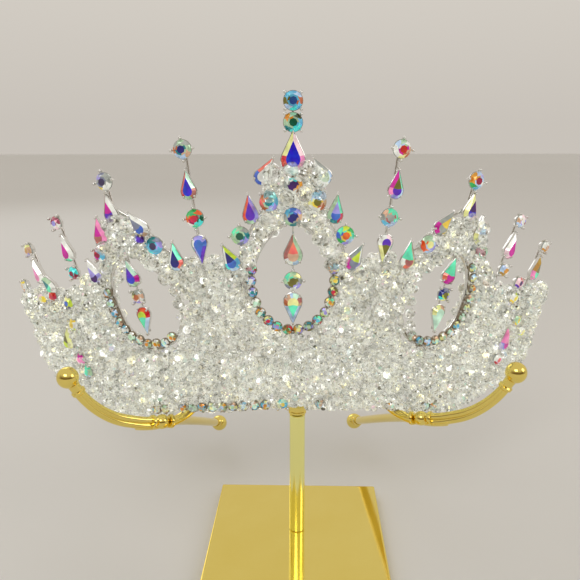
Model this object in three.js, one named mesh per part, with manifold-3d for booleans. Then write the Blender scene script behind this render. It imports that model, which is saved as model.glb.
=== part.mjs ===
// A bridal crown of clear beads and aurora-borealis stones, held on a polished gold display stand.
// Units are millimetres. +Z is up, the front of the crown faces -Y, and +X is to the viewer's right.
// The origin is the middle of the stand plate's underside.
import * as THREE from 'three';
import { mergeVertices } from 'three/addons/utils/BufferGeometryUtils.js';
import Module from 'manifold-3d';

const wasm = await Module();
wasm.setup();

// Driving dimensions of the display stand
const plate = { side: 60, thickness: 4, chamfer: 0.5, turn: -3.3 };
const post = { diameter: 5.2, foot: 4.3, top: 47.6 };
const collar = { diameter: 5.9, bottom: 47.9, top: 51.0 };
const turnedSides = 24;
const rod = { diameter: 3.6, sides: 8, armSteps: 11, rearSteps: 10, crossSteps: 18 };
const ball = { diameter: 6.8, sides: 12 };
const knuckle = { diameter: 5.2, sides: 10 };
const headShift = -1.7;

// The crown's wall is a flared half oval, tilted back on the stand.
// A place on it is a turn in degrees from the middle, a height up the wall and a distance out of it.
const wall = {
  halfWidth: 86.6,
  depth: 67.2,
  sideFlare: 0.49,
  frontFlare: 0.308,
  tilt: 17.4,
  front: -5,
  bottom: 51.6,
};
const sideSwell = { from: 45, to: 78, extra: 8, lessFlare: 0.15 };

// Layers of the wall, as distances out from the surface through the stones' girdles
const layer = { panelBack: -7.4, panelFront: -4.2, frame: -2.8, disc: -2.1, discThickness: 0.7, thread: -0.3 };
const wire = { frame: 1.5, thread: 1.5, bandSteps: 42 };
const wallBlank = { low: -12, high: 92, step: 3, cutDepth: 26 };

// Stone cuts: girdle size, depth in front of the girdle and behind it, and the share of the girdle that
// the back and the table have. The plate of a setting is smaller than its stone all round.
const cuts = {
  chaton: { width: 6, length: 6, front: 1.4, back: 1.3, round: true },
  small: { width: 4.6, length: 4.6, front: 1.1, back: 1.1, round: true },
  drop: { width: 6, length: 10, front: 1.4, back: 1.3, round: false },
  slim: { width: 5.2, length: 9, front: 1.3, back: 1.3, round: false },
  large: { width: 7.6, length: 12.4, front: 1.6, back: 1.3, round: false },
};
const facet = { back: 0.62, table: 0.56, centre: 0.62, roundSides: 8, arcPoints: 7, tipGrowth: 1.6 };
const setting = { inset: 0.7, sides: 6 };

// Single stones: place on the wall, cut, and how far the tip leans in degrees, clockwise from the front
const middleStones = [
  { name: 'top_chaton', turn: 0, height: 93.9, cut: 'chaton', lean: 0 },
  { name: 'second_chaton', turn: 0, height: 87.9, cut: 'chaton', lean: 0 },
  { name: 'top_pear', turn: 0, height: 79.6, cut: 'large', lean: 0 },
  { name: 'dome_chaton', turn: 0, height: 70.2, cut: 'chaton', lean: 0 },
  { name: 'keystone_chaton', turn: 0, height: 60.7, cut: 'chaton', lean: 0 },
  { name: 'pendant_upper_pear', turn: 0, height: 51.0, cut: 'drop', lean: 0 },
  { name: 'pendant_chaton', turn: 0, height: 41.4, cut: 'chaton', lean: 0 },
  { name: 'pendant_lower_pear', turn: 0, height: 32.9, cut: 'drop', lean: 180 },
];
const pairedStones = [
  { name: 'shoulder_pear', turn: 3.9, height: 74.2, cut: 'slim', lean: -32 },
  { name: 'neck_chaton', turn: 3.6, height: 65.2, cut: 'chaton', lean: 0 },
  { name: 'flame_pear', turn: 6.5, height: 63.2, cut: 'slim', lean: 4 },
  { name: 'flank_chaton', turn: 8.3, height: 55.3, cut: 'chaton', lean: 0 },
  { name: 'flank_pear', turn: 10.4, height: 48.8, cut: 'slim', lean: 24 },
  { name: 'spike_chaton', turn: 15.5, height: 81.2, cut: 'chaton', lean: 0 },
  { name: 'spike_pear', turn: 15.5, height: 70.9, cut: 'slim', lean: 0 },
  { name: 'spike_low_chaton', turn: 15.2, height: 60.9, cut: 'chaton', lean: 0 },
  { name: 'spike_low_pear', turn: 15.1, height: 51.4, cut: 'slim', lean: 180 },
  { name: 'arch_chaton', turn: 29.2, height: 73.6, cut: 'chaton', lean: 0 },
  { name: 'arch_pear', turn: 29.6, height: 65.4, cut: 'slim', lean: 0 },
  { name: 'arch_inner_pear', turn: 25.2, height: 60.0, cut: 'slim', lean: 30 },
  { name: 'arch_inner_chaton', turn: 23.0, height: 53.2, cut: 'chaton', lean: 0 },
  { name: 'arch_low_pear', turn: 19.7, height: 49.6, cut: 'slim', lean: 0 },
  { name: 'arch_outer_pear', turn: 33.0, height: 58.6, cut: 'slim', lean: -6 },
  { name: 'arch_outer_chaton', turn: 34.6, height: 51.4, cut: 'small', lean: 0 },
];
// Stones that share one thread or stem and are joined along it
const threadedStones = [
  {
    name: 'side_pendant',
    stones: [
      { turn: 29.0, height: 45.0, cut: 'slim', lean: 8 },
      { turn: 28.9, height: 37.4, cut: 'small', lean: 0 },
      { turn: 28.8, height: 29.6, cut: 'slim', lean: 176 },
    ],
  },
  {
    name: 'third_spike_stones',
    stones: [
      { turn: 42.5, height: 62.8, cut: 'small', lean: 0 },
      { turn: 42.3, height: 54.4, cut: 'slim', lean: 0 },
      { turn: 42.9, height: 46.2, cut: 'small', lean: 0 },
    ],
  },
  {
    name: 'end_spike_stones',
    stones: [
      { turn: 55.5, height: 55.8, cut: 'small', lean: 0 },
      { turn: 55.3, height: 48.0, cut: 'slim', lean: 0 },
    ],
  },
];

// Outline of the beaded wall: its upper edge from the middle out to the end, then its lower edge
const upperEdge = [
  { turn: 0, height: 76.5 },
  { turn: 3.0, height: 75.2 },
  { turn: 4.9, height: 71.5 },
  { turn: 5.2, height: 64.0 },
  { turn: 6.6, height: 57.0 },
  { turn: 8.4, height: 50.0 },
  { turn: 10.5, height: 48.0 },
  { turn: 13.5, height: 51.0 },
  { turn: 16.8, height: 50.5 },
  { turn: 20.3, height: 48.5 },
  { turn: 23.6, height: 55.5 },
  { turn: 26.5, height: 61.5 },
  { turn: 29.2, height: 64.0 },
  { turn: 32.0, height: 63.0 },
  { turn: 34.6, height: 57.5 },
  { turn: 36.5, height: 51.5 },
  { turn: 39.5, height: 46.0 },
  { turn: 44, height: 43.0 },
  { turn: 51, height: 41.5 },
  { turn: 59, height: 43.0 },
  { turn: 70, height: 45.0 },
  { turn: 79, height: 42.0 },
  { turn: 86, height: 33.0 },
];
const lowerEdge = [
  { turn: 86, height: 22.0 },
  { turn: 80, height: 14.5 },
  { turn: 70, height: 9.5 },
  { turn: 60, height: 4.0 },
  { turn: 52, height: 0.2 },
  { turn: 44, height: -1.8 },
  { turn: 34, height: -2.2 },
  { turn: 24, height: -1.2 },
  { turn: 12, height: -0.4 },
  { turn: 0, height: 0.5 },
];
const panelJoints = [15.4, 38.4];
const panelGap = 0.2;
const panelSetback = 3.9;
const collarNotch = { from: -2.7, to: 3.8, low: -6, top: 2.2 };

// Clear openings of the arches, from the top round by the far side
const middleOpening = [
  { turn: 0, height: 58.3 },
  { turn: 1.8, height: 57.0 },
  { turn: 3.2, height: 54.6 },
  { turn: 4.9, height: 50.4 },
  { turn: 6.0, height: 45.6 },
  { turn: 6.3, height: 41.0 },
  { turn: 6.0, height: 36.6 },
  { turn: 5.0, height: 32.2 },
  { turn: 3.1, height: 28.8 },
  { turn: 0, height: 27.2 },
];
const sideOpening = [
  { turn: 29.5, height: 50.4 },
  { turn: 31.2, height: 49.6 },
  { turn: 33.2, height: 46.4 },
  { turn: 34.4, height: 42.4 },
  { turn: 35.0, height: 38.4 },
  { turn: 34.9, height: 34.0 },
  { turn: 34.3, height: 29.8 },
  { turn: 32.8, height: 26.0 },
  { turn: 29.2, height: 23.2 },
  { turn: 25.2, height: 23.6 },
  { turn: 23.0, height: 27.2 },
  { turn: 22.2, height: 31.4 },
  { turn: 22.1, height: 36.0 },
  { turn: 22.9, height: 40.4 },
  { turn: 24.8, height: 44.0 },
  { turn: 27.2, height: 47.4 },
];

// Cup chains of small stones
const chain = { pitch: 3.6, cup: 3.3, depth: 1.8, rim: 1.9, link: 1.2, cupFrom: 0.18, cupTo: 0.82 };
const edgeChain = { reach: 37, step: 4, rise: 2.0 };

// Bands of the frame round the crown, and its other wires: routes of turn and height, mirrored to the left.
// A band rises towards the ends with its share of the lower edge's rise.
const bandEnd = 83;
const bandPitch = 8;
const bands = [
  { height: 3.5, follow: 1 },
  { height: 20.0, follow: 0.5 },
];
const wireRoutes = [
  [[0, 3.4], [0, 96]],
  [[15.4, 3.0], [15.3, 83.5]],
  [[29.2, 2.0], [29.4, 76]],
  [[42.5, 2.4], [42.5, 65]],
  [[55.4, 4.6], [55.4, 57.6]],
  [[69, 12], [69.5, 42]],
  [[bandEnd, 21.5], [bandEnd, 32]],
  [[9.0, 20], [8.4, 34], [10.4, 48.8], [8.3, 55.3], [6.5, 63.2], [3.9, 74.2], [0, 79.6]],
  [[3.6, 65.2], [0, 60.7]],
  [[8.0, 41], [15.4, 45], [19.9, 41]],
  [[19.0, 20], [19.0, 38], [19.7, 49.6], [23.0, 53.2], [25.2, 60.0], [29.4, 65.4]],
  [[38.4, 21], [38.5, 34], [37.6, 44], [34.6, 51.4], [33.0, 58.6], [29.4, 65.4]],
  [[37.4, 38], [42.5, 40], [55.4, 39], [69.5, 40], [bandEnd, 32]],
];

const metal = {
  silver: new THREE.MeshStandardMaterial({ color: 0xd9d9d6, roughness: 0.22, metalness: 1 }),
  gold: new THREE.MeshStandardMaterial({ color: 0xe2b64a, roughness: 0.16, metalness: 1 }),
};
const stoneColours = {
  aurora: new THREE.MeshStandardMaterial({ color: 0x8f86c9, roughness: 0.05, metalness: 0.3 }),
  crystal: new THREE.MeshStandardMaterial({ color: 0xeef0ee, roughness: 0.1, metalness: 0 }),
};

const crown = new THREE.Group();
const radians = THREE.MathUtils.degToRad;

// A point of the wall in the stand's frame. The crown's middle plane lies headShift beside the post.
function wallPoint(turn, height, out = 0) {
  const angle = radians(turn);
  const swell = THREE.MathUtils.smoothstep(Math.abs(turn), sideSwell.from, sideSwell.to);
  const flare = wall.sideFlare - sideSwell.lessFlare * swell;
  const halfWidth = wall.halfWidth + sideSwell.extra * swell + flare * height + out;
  const depth = wall.depth + wall.frontFlare * height + out;
  const back = wall.depth - depth * Math.cos(angle);
  const tilt = radians(wall.tilt);
  return new THREE.Vector3(
    headShift + halfWidth * Math.sin(angle),
    wall.front + back * Math.cos(tilt) + height * Math.sin(tilt),
    wall.bottom + height * Math.cos(tilt) - back * Math.sin(tilt),
  );
}

// Axes of the wall at a place: along it, up it and out of it
function wallFrame(turn, height, out) {
  const step = 0.05;
  const origin = wallPoint(turn, height, out);
  const up = wallPoint(turn, height + step, out).sub(wallPoint(turn, height - step, out)).normalize();
  const along = wallPoint(turn + step, height, out).sub(wallPoint(turn - step, height, out)).normalize();
  const outward = new THREE.Vector3().crossVectors(along, up).normalize();
  along.crossVectors(up, outward).normalize();
  return { origin, along, up, outward };
}

function wallMatrix(turn, height, out, lean) {
  const frame = wallFrame(turn, height, out);
  const matrix = new THREE.Matrix4().makeBasis(frame.along, frame.up, frame.outward);
  matrix.multiply(new THREE.Matrix4().makeRotationZ(-radians(lean)));
  return matrix.setPosition(frame.origin);
}

// Closed mesh to solid and back
function solidOf(geometry) {
  const bare = geometry.clone();
  bare.deleteAttribute('normal');
  bare.deleteAttribute('uv');
  const merged = mergeVertices(bare, 1e-4);
  return new wasm.Manifold(new wasm.Mesh({
    numProp: 3,
    vertProperties: new Float32Array(merged.attributes.position.array),
    triVerts: new Uint32Array(merged.index.array),
  }));
}

function geometryOf(solid) {
  const mesh = solid.getMesh();
  const geometry = new THREE.BufferGeometry();
  geometry.setAttribute('position', new THREE.BufferAttribute(new Float32Array(mesh.vertProperties), 3));
  geometry.setIndex(Array.from(mesh.triVerts));
  return geometry;
}

function joined(geometries) {
  return geometries.map(solidOf).reduce((sum, solid) => sum.add(solid));
}

function addNode(name, geometry, material) {
  const mesh = new THREE.Mesh(geometry, material);
  mesh.name = name;
  crown.add(mesh);
  return mesh;
}

// Rod of the stand along a smooth curve through a list of points
function rodGeometry(points, steps) {
  const path = new THREE.CatmullRomCurve3(points, false, 'centripetal');
  const section = new THREE.Shape();
  for (let i = 0; i < rod.sides; i += 1) {
    const angle = (2 * Math.PI * i) / rod.sides;
    const x = (rod.diameter / 2) * Math.cos(angle);
    const y = (rod.diameter / 2) * Math.sin(angle);
    if (i === 0) section.moveTo(x, y);
    else section.lineTo(x, y);
  }
  section.closePath();
  return new THREE.ExtrudeGeometry(section, { steps, extrudePath: path, bevelEnabled: false });
}

function turned(profile) {
  const points = profile.map(([r, z]) => new THREE.Vector2(r, z));
  return new THREE.LatheGeometry(points, turnedSides).rotateX(Math.PI / 2);
}

// Outline of a stone in its own plane, tip up, as seen from the front
function stoneOutline(cut, grow = 0, sides = facet.roundSides) {
  const radius = cut.width / 2 + grow;
  const points = [];
  if (cut.round) {
    for (let i = 0; i < sides; i += 1) {
      const angle = (2 * Math.PI * (i + 0.5)) / sides;
      points.push(new THREE.Vector2(radius * Math.cos(angle), radius * Math.sin(angle)));
    }
    return points;
  }
  const middle = -cut.length / 2 + cut.width / 2;
  for (let i = 0; i < facet.arcPoints; i += 1) {
    const angle = radians(-205 + (230 * i) / (facet.arcPoints - 1));
    points.push(new THREE.Vector2(radius * Math.cos(angle), middle + radius * Math.sin(angle)));
  }
  points.push(new THREE.Vector2(0, cut.length / 2 + grow * facet.tipGrowth));
  return points;
}

// A cut stone: small flat back, girdle at zero, smaller flat table in front
function stoneGeometry(cut) {
  const girdle = stoneOutline(cut);
  const centre = cut.round ? 0 : -cut.length / 2 + cut.width * facet.centre;
  const levels = [
    { z: -cut.back, scale: facet.back },
    { z: 0, scale: 1 },
    { z: cut.front, scale: facet.table },
  ];
  const count = girdle.length;
  const positions = [];
  for (const level of levels) {
    for (const point of girdle) {
      positions.push(point.x * level.scale, centre + (point.y - centre) * level.scale, level.z);
    }
  }
  const index = [];
  for (let row = 0; row < 2; row += 1) {
    for (let i = 0; i < count; i += 1) {
      const a = row * count + i;
      const b = row * count + ((i + 1) % count);
      index.push(a, b, b + count, a, b + count, a + count);
    }
  }
  for (let i = 1; i < count - 1; i += 1) {
    index.push(0, i + 1, i);
    index.push(2 * count, 2 * count + i, 2 * count + i + 1);
  }
  const geometry = new THREE.BufferGeometry();
  geometry.setAttribute('position', new THREE.Float32BufferAttribute(positions, 3));
  geometry.setIndex(index);
  return geometry;
}

// The flat plate of a setting, a little smaller than its stone
function settingGeometry(cut) {
  const shape = new THREE.Shape(stoneOutline(cut, -setting.inset, setting.sides));
  const options = { depth: layer.discThickness, bevelEnabled: false, steps: 1 };
  const geometry = new THREE.ExtrudeGeometry(shape, options);
  return geometry.translate(0, 0, layer.disc - layer.discThickness / 2);
}

// A block of the wall between two turns and two distances out
function wallBlock(fromTurn, toTurn, back, front) {
  const { low, high, step } = wallBlank;
  const columns = Math.max(1, Math.round(Math.abs(toTurn - fromTurn) / step));
  const positions = [];
  for (let i = 0; i <= columns; i += 1) {
    const turn = fromTurn + ((toTurn - fromTurn) * i) / columns;
    for (const [height, out] of [[low, back], [low, front], [high, front], [high, back]]) {
      positions.push(...wallPoint(turn, height, out).toArray());
    }
  }
  const index = [];
  for (let i = 0; i < columns; i += 1) {
    for (let k = 0; k < 4; k += 1) {
      const a = 4 * i + k;
      const b = 4 * i + ((k + 1) % 4);
      index.push(a, b + 4, b, a, a + 4, b + 4);
    }
  }
  const last = 4 * columns;
  index.push(0, 1, 2, 0, 2, 3);
  index.push(last, last + 2, last + 1, last, last + 3, last + 2);
  const geometry = new THREE.BufferGeometry();
  geometry.setAttribute('position', new THREE.Float32BufferAttribute(positions, 3));
  geometry.setIndex(index);
  return geometry;
}

// A cutter through the wall with the given outline
function wallCutter(outline) {
  const shape = new THREE.Shape(outline.map((place) => new THREE.Vector2(place.turn, place.height)));
  const geometry = new THREE.ExtrudeGeometry(shape, { depth: 1, bevelEnabled: false, steps: 1 });
  const position = geometry.attributes.position;
  for (let i = 0; i < position.count; i += 1) {
    const out = THREE.MathUtils.lerp(-wallBlank.cutDepth, wallBlank.cutDepth, position.getZ(i));
    const point = wallPoint(position.getX(i), position.getY(i), out);
    position.setXYZ(i, point.x, point.y, point.z);
  }
  return geometry;
}

function mirrored(places) {
  return places.map((place) => ({ ...place, turn: -place.turn })).reverse();
}

function heightAt(edge, turn) {
  for (let i = 0; i < edge.length - 1; i += 1) {
    const [a, b] = [edge[i], edge[i + 1]];
    const inside = (turn - a.turn) * (turn - b.turn) <= 0 && a.turn !== b.turn;
    if (inside) return a.height + ((b.height - a.height) * (turn - a.turn)) / (b.turn - a.turn);
  }
  return edge[edge.length - 1].height;
}

// The part of the beaded outline between two turns, upper edge first
function panelOutline(fromTurn, toTurn) {
  const within = (place) => place.turn > fromTurn && place.turn < toTurn;
  const whole = [...mirrored(upperEdge.slice(1)), ...upperEdge];
  const under = [...lowerEdge, ...mirrored(lowerEdge.slice(0, -1))];
  return [
    { turn: fromTurn, height: heightAt(under, fromTurn) },
    ...under.filter(within).reverse(),
    { turn: toTurn, height: heightAt(under, toTurn) },
    { turn: toTurn, height: heightAt(whole, toTurn) },
    ...whole.filter(within).reverse(),
    { turn: fromTurn, height: heightAt(whole, fromTurn) },
  ];
}

// A closed outline on the wall pushed outward by a distance in millimetres
function grown(outline, distance) {
  const radiusAt = (height) => wall.halfWidth + wall.sideFlare * height;
  const points = outline.map(({ turn, height }) => new THREE.Vector2(radians(turn) * radiusAt(height), height));
  const count = points.length;
  const area = points.reduce((sum, p, i) => sum + p.cross(points[(i + 1) % count]), 0);
  return points.map((point, i) => {
    const before = points[(i + count - 1) % count];
    const after = points[(i + 1) % count];
    const along = after.clone().sub(before).normalize();
    const out = new THREE.Vector2(along.y, -along.x).multiplyScalar(Math.sign(area) * distance);
    const moved = point.clone().add(out);
    return { turn: THREE.MathUtils.radToDeg(moved.x / radiusAt(moved.y)), height: moved.y };
  });
}

function wallCurve(places, out, closed = false) {
  const points = places.map((place) => wallPoint(place.turn, place.height, place.out ?? out));
  return new THREE.CatmullRomCurve3(points, closed, 'centripetal');
}

const middleHole = [...middleOpening, ...mirrored(middleOpening.slice(1, -1))];
const openings = [
  { name: 'centre', outline: middleHole, at: 0 },
  { name: 'right', outline: sideOpening, at: 29.5 },
  { name: 'left', outline: mirrored(sideOpening), at: -29.5 },
];

// Every stone of the crown, with its side
const sides = [{ name: 'left', sign: -1 }, { name: 'right', sign: 1 }];
const singleStones = [
  ...middleStones,
  ...sides.flatMap((side) => pairedStones.map((stone) => ({
    ...stone,
    name: `${stone.name}_${side.name}`,
    turn: stone.turn * side.sign,
    lean: stone.lean * side.sign,
  }))),
];
const stoneGroups = sides.flatMap((side) => threadedStones.map((group) => ({
  name: `${group.name}_${side.name}`,
  stones: group.stones.map((stone) => ({ ...stone, turn: stone.turn * side.sign, lean: stone.lean * side.sign })),
})));

function placed(geometry, stone, out = 0) {
  return geometry.applyMatrix4(wallMatrix(stone.turn, stone.height, out, stone.lean));
}

// Display stand
function buildStand() {
  const half = plate.side / 2 - plate.chamfer;
  const corners = [[-half, -half], [half, -half], [half, half], [-half, half]];
  const outline = new THREE.Shape(corners.map(([x, y]) => new THREE.Vector2(x, y)));
  const plateGeometry = new THREE.ExtrudeGeometry(outline, {
    depth: plate.thickness - 2 * plate.chamfer,
    bevelThickness: plate.chamfer,
    bevelSize: plate.chamfer,
    bevelSegments: 1,
    steps: 1,
  });
  plateGeometry.translate(0, 0, plate.chamfer);
  addNode('stand_plate', plateGeometry, metal.gold).rotation.z = radians(plate.turn);

  const r = post.diameter / 2;
  addNode('stand_post', turned([[0, post.foot], [r, post.foot], [r, post.top], [0, post.top]]), metal.gold);

  addNode('stand_arms', geometryOf(armsSolid()), metal.gold);
}

// Route of a front arm, from its ball down and in to the knuckle under the crown's edge
function armPlaces(sign) {
  const route = [
    [69.4, -16.0, 67.6],
    [66.4, -14.2, 61.4],
    [63.4, -12.3, 56.8],
    [59.9, -10.1, 52.9],
    [56.4, -7.8, 50.1],
    [52.6, -5.4, 48.1],
    [48.8, -3.0, 46.5],
    [44.0, 0.0, 45.4],
  ];
  return route.map(([x, y, z]) => new THREE.Vector3(headShift + sign * x, y, z));
}

// Route of a rear rod, from under the front arm back and down to its ball
function rearPlaces(sign) {
  const route = [
    [59.0, -8.6, 50.6],
    [53.0, -4.6, 46.6],
    [47.0, -0.4, 44.4],
    [42.5, 6.5, 42.6],
    [38.5, 26.0, 34.0],
    [30.3, 70.2, 12.7],
  ];
  return route.map(([x, y, z]) => new THREE.Vector3(headShift + sign * x, y, z));
}

// Cross-bar from knuckle to knuckle through the back of the collar, bowed behind the crown's lower edge
function crossPlaces() {
  const route = [
    [10, 6.2, 50.0],
    [24, 11.4, 50.0],
    [33, 11.6, 46.6],
    [37.5, 9.8, 43.4],
    [41.5, 5.5, 42.8],
    [44, 0.4, 44.4],
  ];
  const right = route.map(([x, y, z]) => new THREE.Vector3(headShift + x, y, z));
  const left = route.map(([x, y, z]) => new THREE.Vector3(headShift - x, y, z)).reverse();
  return [...left, new THREE.Vector3(0, collar.diameter / 2, 49.5), ...right];
}

// Collar, cross-bar, arms, rods, knuckles and balls, soldered
function armsSolid() {
  const r = collar.diameter / 2;
  const pieces = [
    turned([[0, collar.bottom], [r, collar.bottom], [r, collar.top], [0, collar.top]]),
    rodGeometry(crossPlaces(), rod.crossSteps),
  ];
  for (const side of sides) {
    const arm = armPlaces(side.sign);
    const rear = rearPlaces(side.sign);
    pieces.push(rodGeometry(arm, rod.armSteps));
    pieces.push(rodGeometry(rear, rod.rearSteps));
    pieces.push(sphereAt(arm.at(-1), knuckle));
    for (const centre of [arm[0], rear.at(-1)]) pieces.push(sphereAt(centre, ball));
  }
  return joined(pieces);
}

function sphereAt(centre, { diameter, sides: count }) {
  const sphere = new THREE.SphereGeometry(diameter / 2, count, count / 2);
  return sphere.rotateX(Math.PI / 2).translate(centre.x, centre.y, centre.z);
}

// Silver frame in front of the beaded wall: bands, ring wires, stems of the spikes and settings
function buildFrame() {
  const pieces = [];
  for (const band of bands) pieces.push(wallBar(bandPlaces(band), layer.frame, wire.frame, wire.bandSteps));
  for (const opening of openings) {
    const ring = grown(opening.outline, chain.rim);
    pieces.push(wallBar(ring, layer.frame, wire.frame, ring.length, true));
  }
  for (const route of wireRoutes) {
    const places = route.map(([turn, height]) => ({ turn, height }));
    const steps = route.length === 2 ? 1 : 2 * (route.length - 1);
    pieces.push(wallBar(places, layer.frame, wire.frame, steps));
    if (places.some((place) => place.turn > 0)) {
      pieces.push(wallBar(mirrored(places), layer.frame, wire.frame, steps));
    }
  }
  for (const stone of allStones()) pieces.push(placed(settingGeometry(cuts[stone.cut]), stone));
  addNode('crown_frame', geometryOf(joined(pieces)), metal.silver);
}

// A band follows the lower edge at its own share of the wall's rise towards the ends
function bandPlaces(band) {
  const edge = [...lowerEdge].reverse();
  const places = [];
  for (let turn = -bandEnd; turn <= bandEnd; turn += bandPitch) {
    const lift = Math.max(0, heightAt(edge, Math.abs(turn)));
    places.push({ turn, height: band.height + lift * band.follow });
  }
  return places;
}

// Square wire along places of the wall, with one pair of faces square to the wall
function wallBar(places, out, width, steps, closed = false) {
  const curve = wallCurve(places, out, closed);
  const rings = [];
  for (let i = 0; i < (closed ? steps : steps + 1); i += 1) {
    const t = i / steps;
    rings.push(squareSection(curve, t, outwardAt(places, t, closed), width, width));
  }
  return loftGeometry(rings, closed);
}

function allStones() {
  return [...singleStones, ...stoneGroups.flatMap((group) => group.stones)];
}

// Beaded wall in five panels, each cut from the wall by its outline and openings
function buildPanels() {
  const [inner, outer] = panelJoints;
  const end = upperEdge.at(-1).turn;
  const panels = [
    { name: 'bead_panel_front', from: -inner, to: inner },
    { name: 'bead_panel_side_right', from: inner + panelGap, to: outer },
    { name: 'bead_panel_side_left', from: -outer, to: -inner - panelGap },
    { name: 'bead_panel_end_right', from: outer + panelGap, to: end },
    { name: 'bead_panel_end_left', from: -end, to: -outer - panelGap },
  ];
  for (const panel of panels) {
    let solid = solidOf(wallBlock(panel.from, panel.to, layer.panelBack, layer.panelFront));
    solid = solid.intersect(solidOf(wallCutter(panelOutline(panel.from, panel.to))));
    for (const opening of openings) {
      const near = opening.at > panel.from && opening.at < panel.to;
      if (near) solid = solid.subtract(solidOf(wallCutter(grown(opening.outline, panelSetback))));
    }
    if (panel.from < 0 && panel.to > 0) solid = solid.subtract(solidOf(wallCutter(notchOutline())));
    addNode(panel.name, geometryOf(solid), stoneColours.crystal);
  }
}

// Room for the collar of the stand in the lower edge of the front panel
function notchOutline() {
  const { from, to, low, top } = collarNotch;
  return [[from, low], [to, low], [to, top], [from, top]].map(([turn, height]) => ({ turn, height }));
}

function buildStones() {
  for (const stone of singleStones) {
    const mesh = addNode(stone.name, stoneGeometry(cuts[stone.cut]), stoneColours.aurora);
    wallMatrix(stone.turn, stone.height, 0, stone.lean).decompose(mesh.position, mesh.quaternion, mesh.scale);
  }
  for (const group of stoneGroups) {
    const pieces = group.stones.map((stone) => placed(stoneGeometry(cuts[stone.cut]), stone));
    const ends = [group.stones[0], group.stones.at(-1)];
    pieces.push(wallBar(ends, layer.thread, wire.thread, 1));
    addNode(group.name, geometryOf(joined(pieces)), stoneColours.aurora);
  }
}

// A string of small stones in square cups, joined by narrow links, along a curve on the wall
function chainGeometry(places) {
  const curve = wallCurve(places, 0);
  const count = Math.floor(curve.getLength() / chain.pitch);
  const rows = [];
  for (let i = 0; i < count; i += 1) {
    rows.push([i, chain.link], [i + chain.cupFrom, chain.cup], [i + chain.cupTo, chain.cup]);
  }
  rows.push([count, chain.link]);
  return loftGeometry(rows.map(([place, width]) => {
    const t = place / count;
    return squareSection(curve, t, outwardAt(places, t), width, (chain.depth * width) / chain.cup);
  }));
}

// The four corners of a bar's section at one point of its curve
function squareSection(curve, t, outward, width, depth) {
  const centre = curve.getPointAt(t);
  const side = new THREE.Vector3().crossVectors(outward, curve.getTangentAt(t)).normalize();
  return [[1, 1], [1, -1], [-1, -1], [-1, 1]].map(([a, b]) => centre.clone()
    .addScaledVector(side, (a * width) / 2)
    .addScaledVector(outward, (b * depth) / 2));
}

// Closed skin through rings of points, capped at both ends or joined end to end
function loftGeometry(sections, closed = false) {
  const count = sections[0].length;
  const rows = closed ? sections.length : sections.length - 1;
  const index = [];
  for (let row = 0; row < rows; row += 1) {
    const next = ((row + 1) % sections.length) * count;
    for (let i = 0; i < count; i += 1) {
      const k = (i + 1) % count;
      index.push(row * count + i, next + k, row * count + k);
      index.push(row * count + i, next + i, next + k);
    }
  }
  const last = (sections.length - 1) * count;
  for (let i = 1; i < count - 1 && !closed; i += 1) {
    index.push(0, i, i + 1);
    index.push(last, last + i + 1, last + i);
  }
  const geometry = new THREE.BufferGeometry();
  const positions = sections.flat().flatMap((point) => point.toArray());
  geometry.setAttribute('position', new THREE.Float32BufferAttribute(positions, 3));
  geometry.setIndex(index);
  return geometry;
}

function outwardAt(places, t, closed = false) {
  const scaled = t * (closed ? places.length : places.length - 1);
  const i = closed ? Math.floor(scaled) : Math.min(Math.floor(scaled), places.length - 2);
  const [a, b] = [places[i], places[(i + 1) % places.length]];
  const turn = THREE.MathUtils.lerp(a.turn, b.turn, scaled - i);
  const height = THREE.MathUtils.lerp(a.height, b.height, scaled - i);
  return wallFrame(turn, height, 0).outward;
}

function buildChains() {
  for (const opening of openings) {
    const ring = grown(opening.outline, chain.rim);
    const topFirst = opening.name === 'left' ? ring.length - 1 : 0;
    const open = [];
    for (let i = 1; i < ring.length; i += 1) open.push(ring[(topFirst + i) % ring.length]);
    addNode(`cup_chain_${opening.name}`, chainGeometry(open), stoneColours.aurora);
  }
  const edge = [];
  for (let turn = -edgeChain.reach; turn <= edgeChain.reach; turn += edgeChain.step) {
    edge.push({ turn, height: heightAt([...lowerEdge].reverse(), Math.abs(turn)) + edgeChain.rise });
  }
  addNode('cup_chain_edge', chainGeometry(edge), stoneColours.aurora);
}

buildStand();
buildFrame();
buildPanels();
buildStones();
buildChains();

export default crown;
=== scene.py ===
"""A bridal crown of clear beads and aurora-borealis stones on a polished gold display stand.

Lengths are in millimetres until a mesh is built, and in metres after that. A place on the crown's wall is
a turn in degrees from its middle, a height up the wall and a distance out of the surface through the
stones' girdles.
"""
import functools
import logging
import math
from dataclasses import dataclass, field
from enum import Enum

import bpy
import numpy as np
from mathutils import Matrix


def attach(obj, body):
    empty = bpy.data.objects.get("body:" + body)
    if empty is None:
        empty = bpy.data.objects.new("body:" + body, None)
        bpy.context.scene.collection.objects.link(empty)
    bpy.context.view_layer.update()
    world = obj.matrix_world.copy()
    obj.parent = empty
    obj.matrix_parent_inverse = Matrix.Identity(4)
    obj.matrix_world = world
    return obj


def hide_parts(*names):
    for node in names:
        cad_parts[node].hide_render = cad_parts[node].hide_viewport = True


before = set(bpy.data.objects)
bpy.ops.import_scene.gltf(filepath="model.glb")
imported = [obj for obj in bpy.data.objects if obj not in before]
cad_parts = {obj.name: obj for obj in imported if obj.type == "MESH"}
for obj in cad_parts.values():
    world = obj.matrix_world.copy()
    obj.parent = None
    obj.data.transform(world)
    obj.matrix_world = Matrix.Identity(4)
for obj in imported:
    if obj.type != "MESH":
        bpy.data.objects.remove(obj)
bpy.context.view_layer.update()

MM = 0.001
# Latitude in degrees at which a ball's small flat cap starts
POLE = 89.0
# Slanting directions, along which nothing runs, that a wire's section and a part's axes start from
WIRE_SLANT = (0.31, 0.17, 0.93)
BASIS_SLANT = (0.31, 0.93, 0.17)
BODY = "root"
SEED = 20

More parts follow.
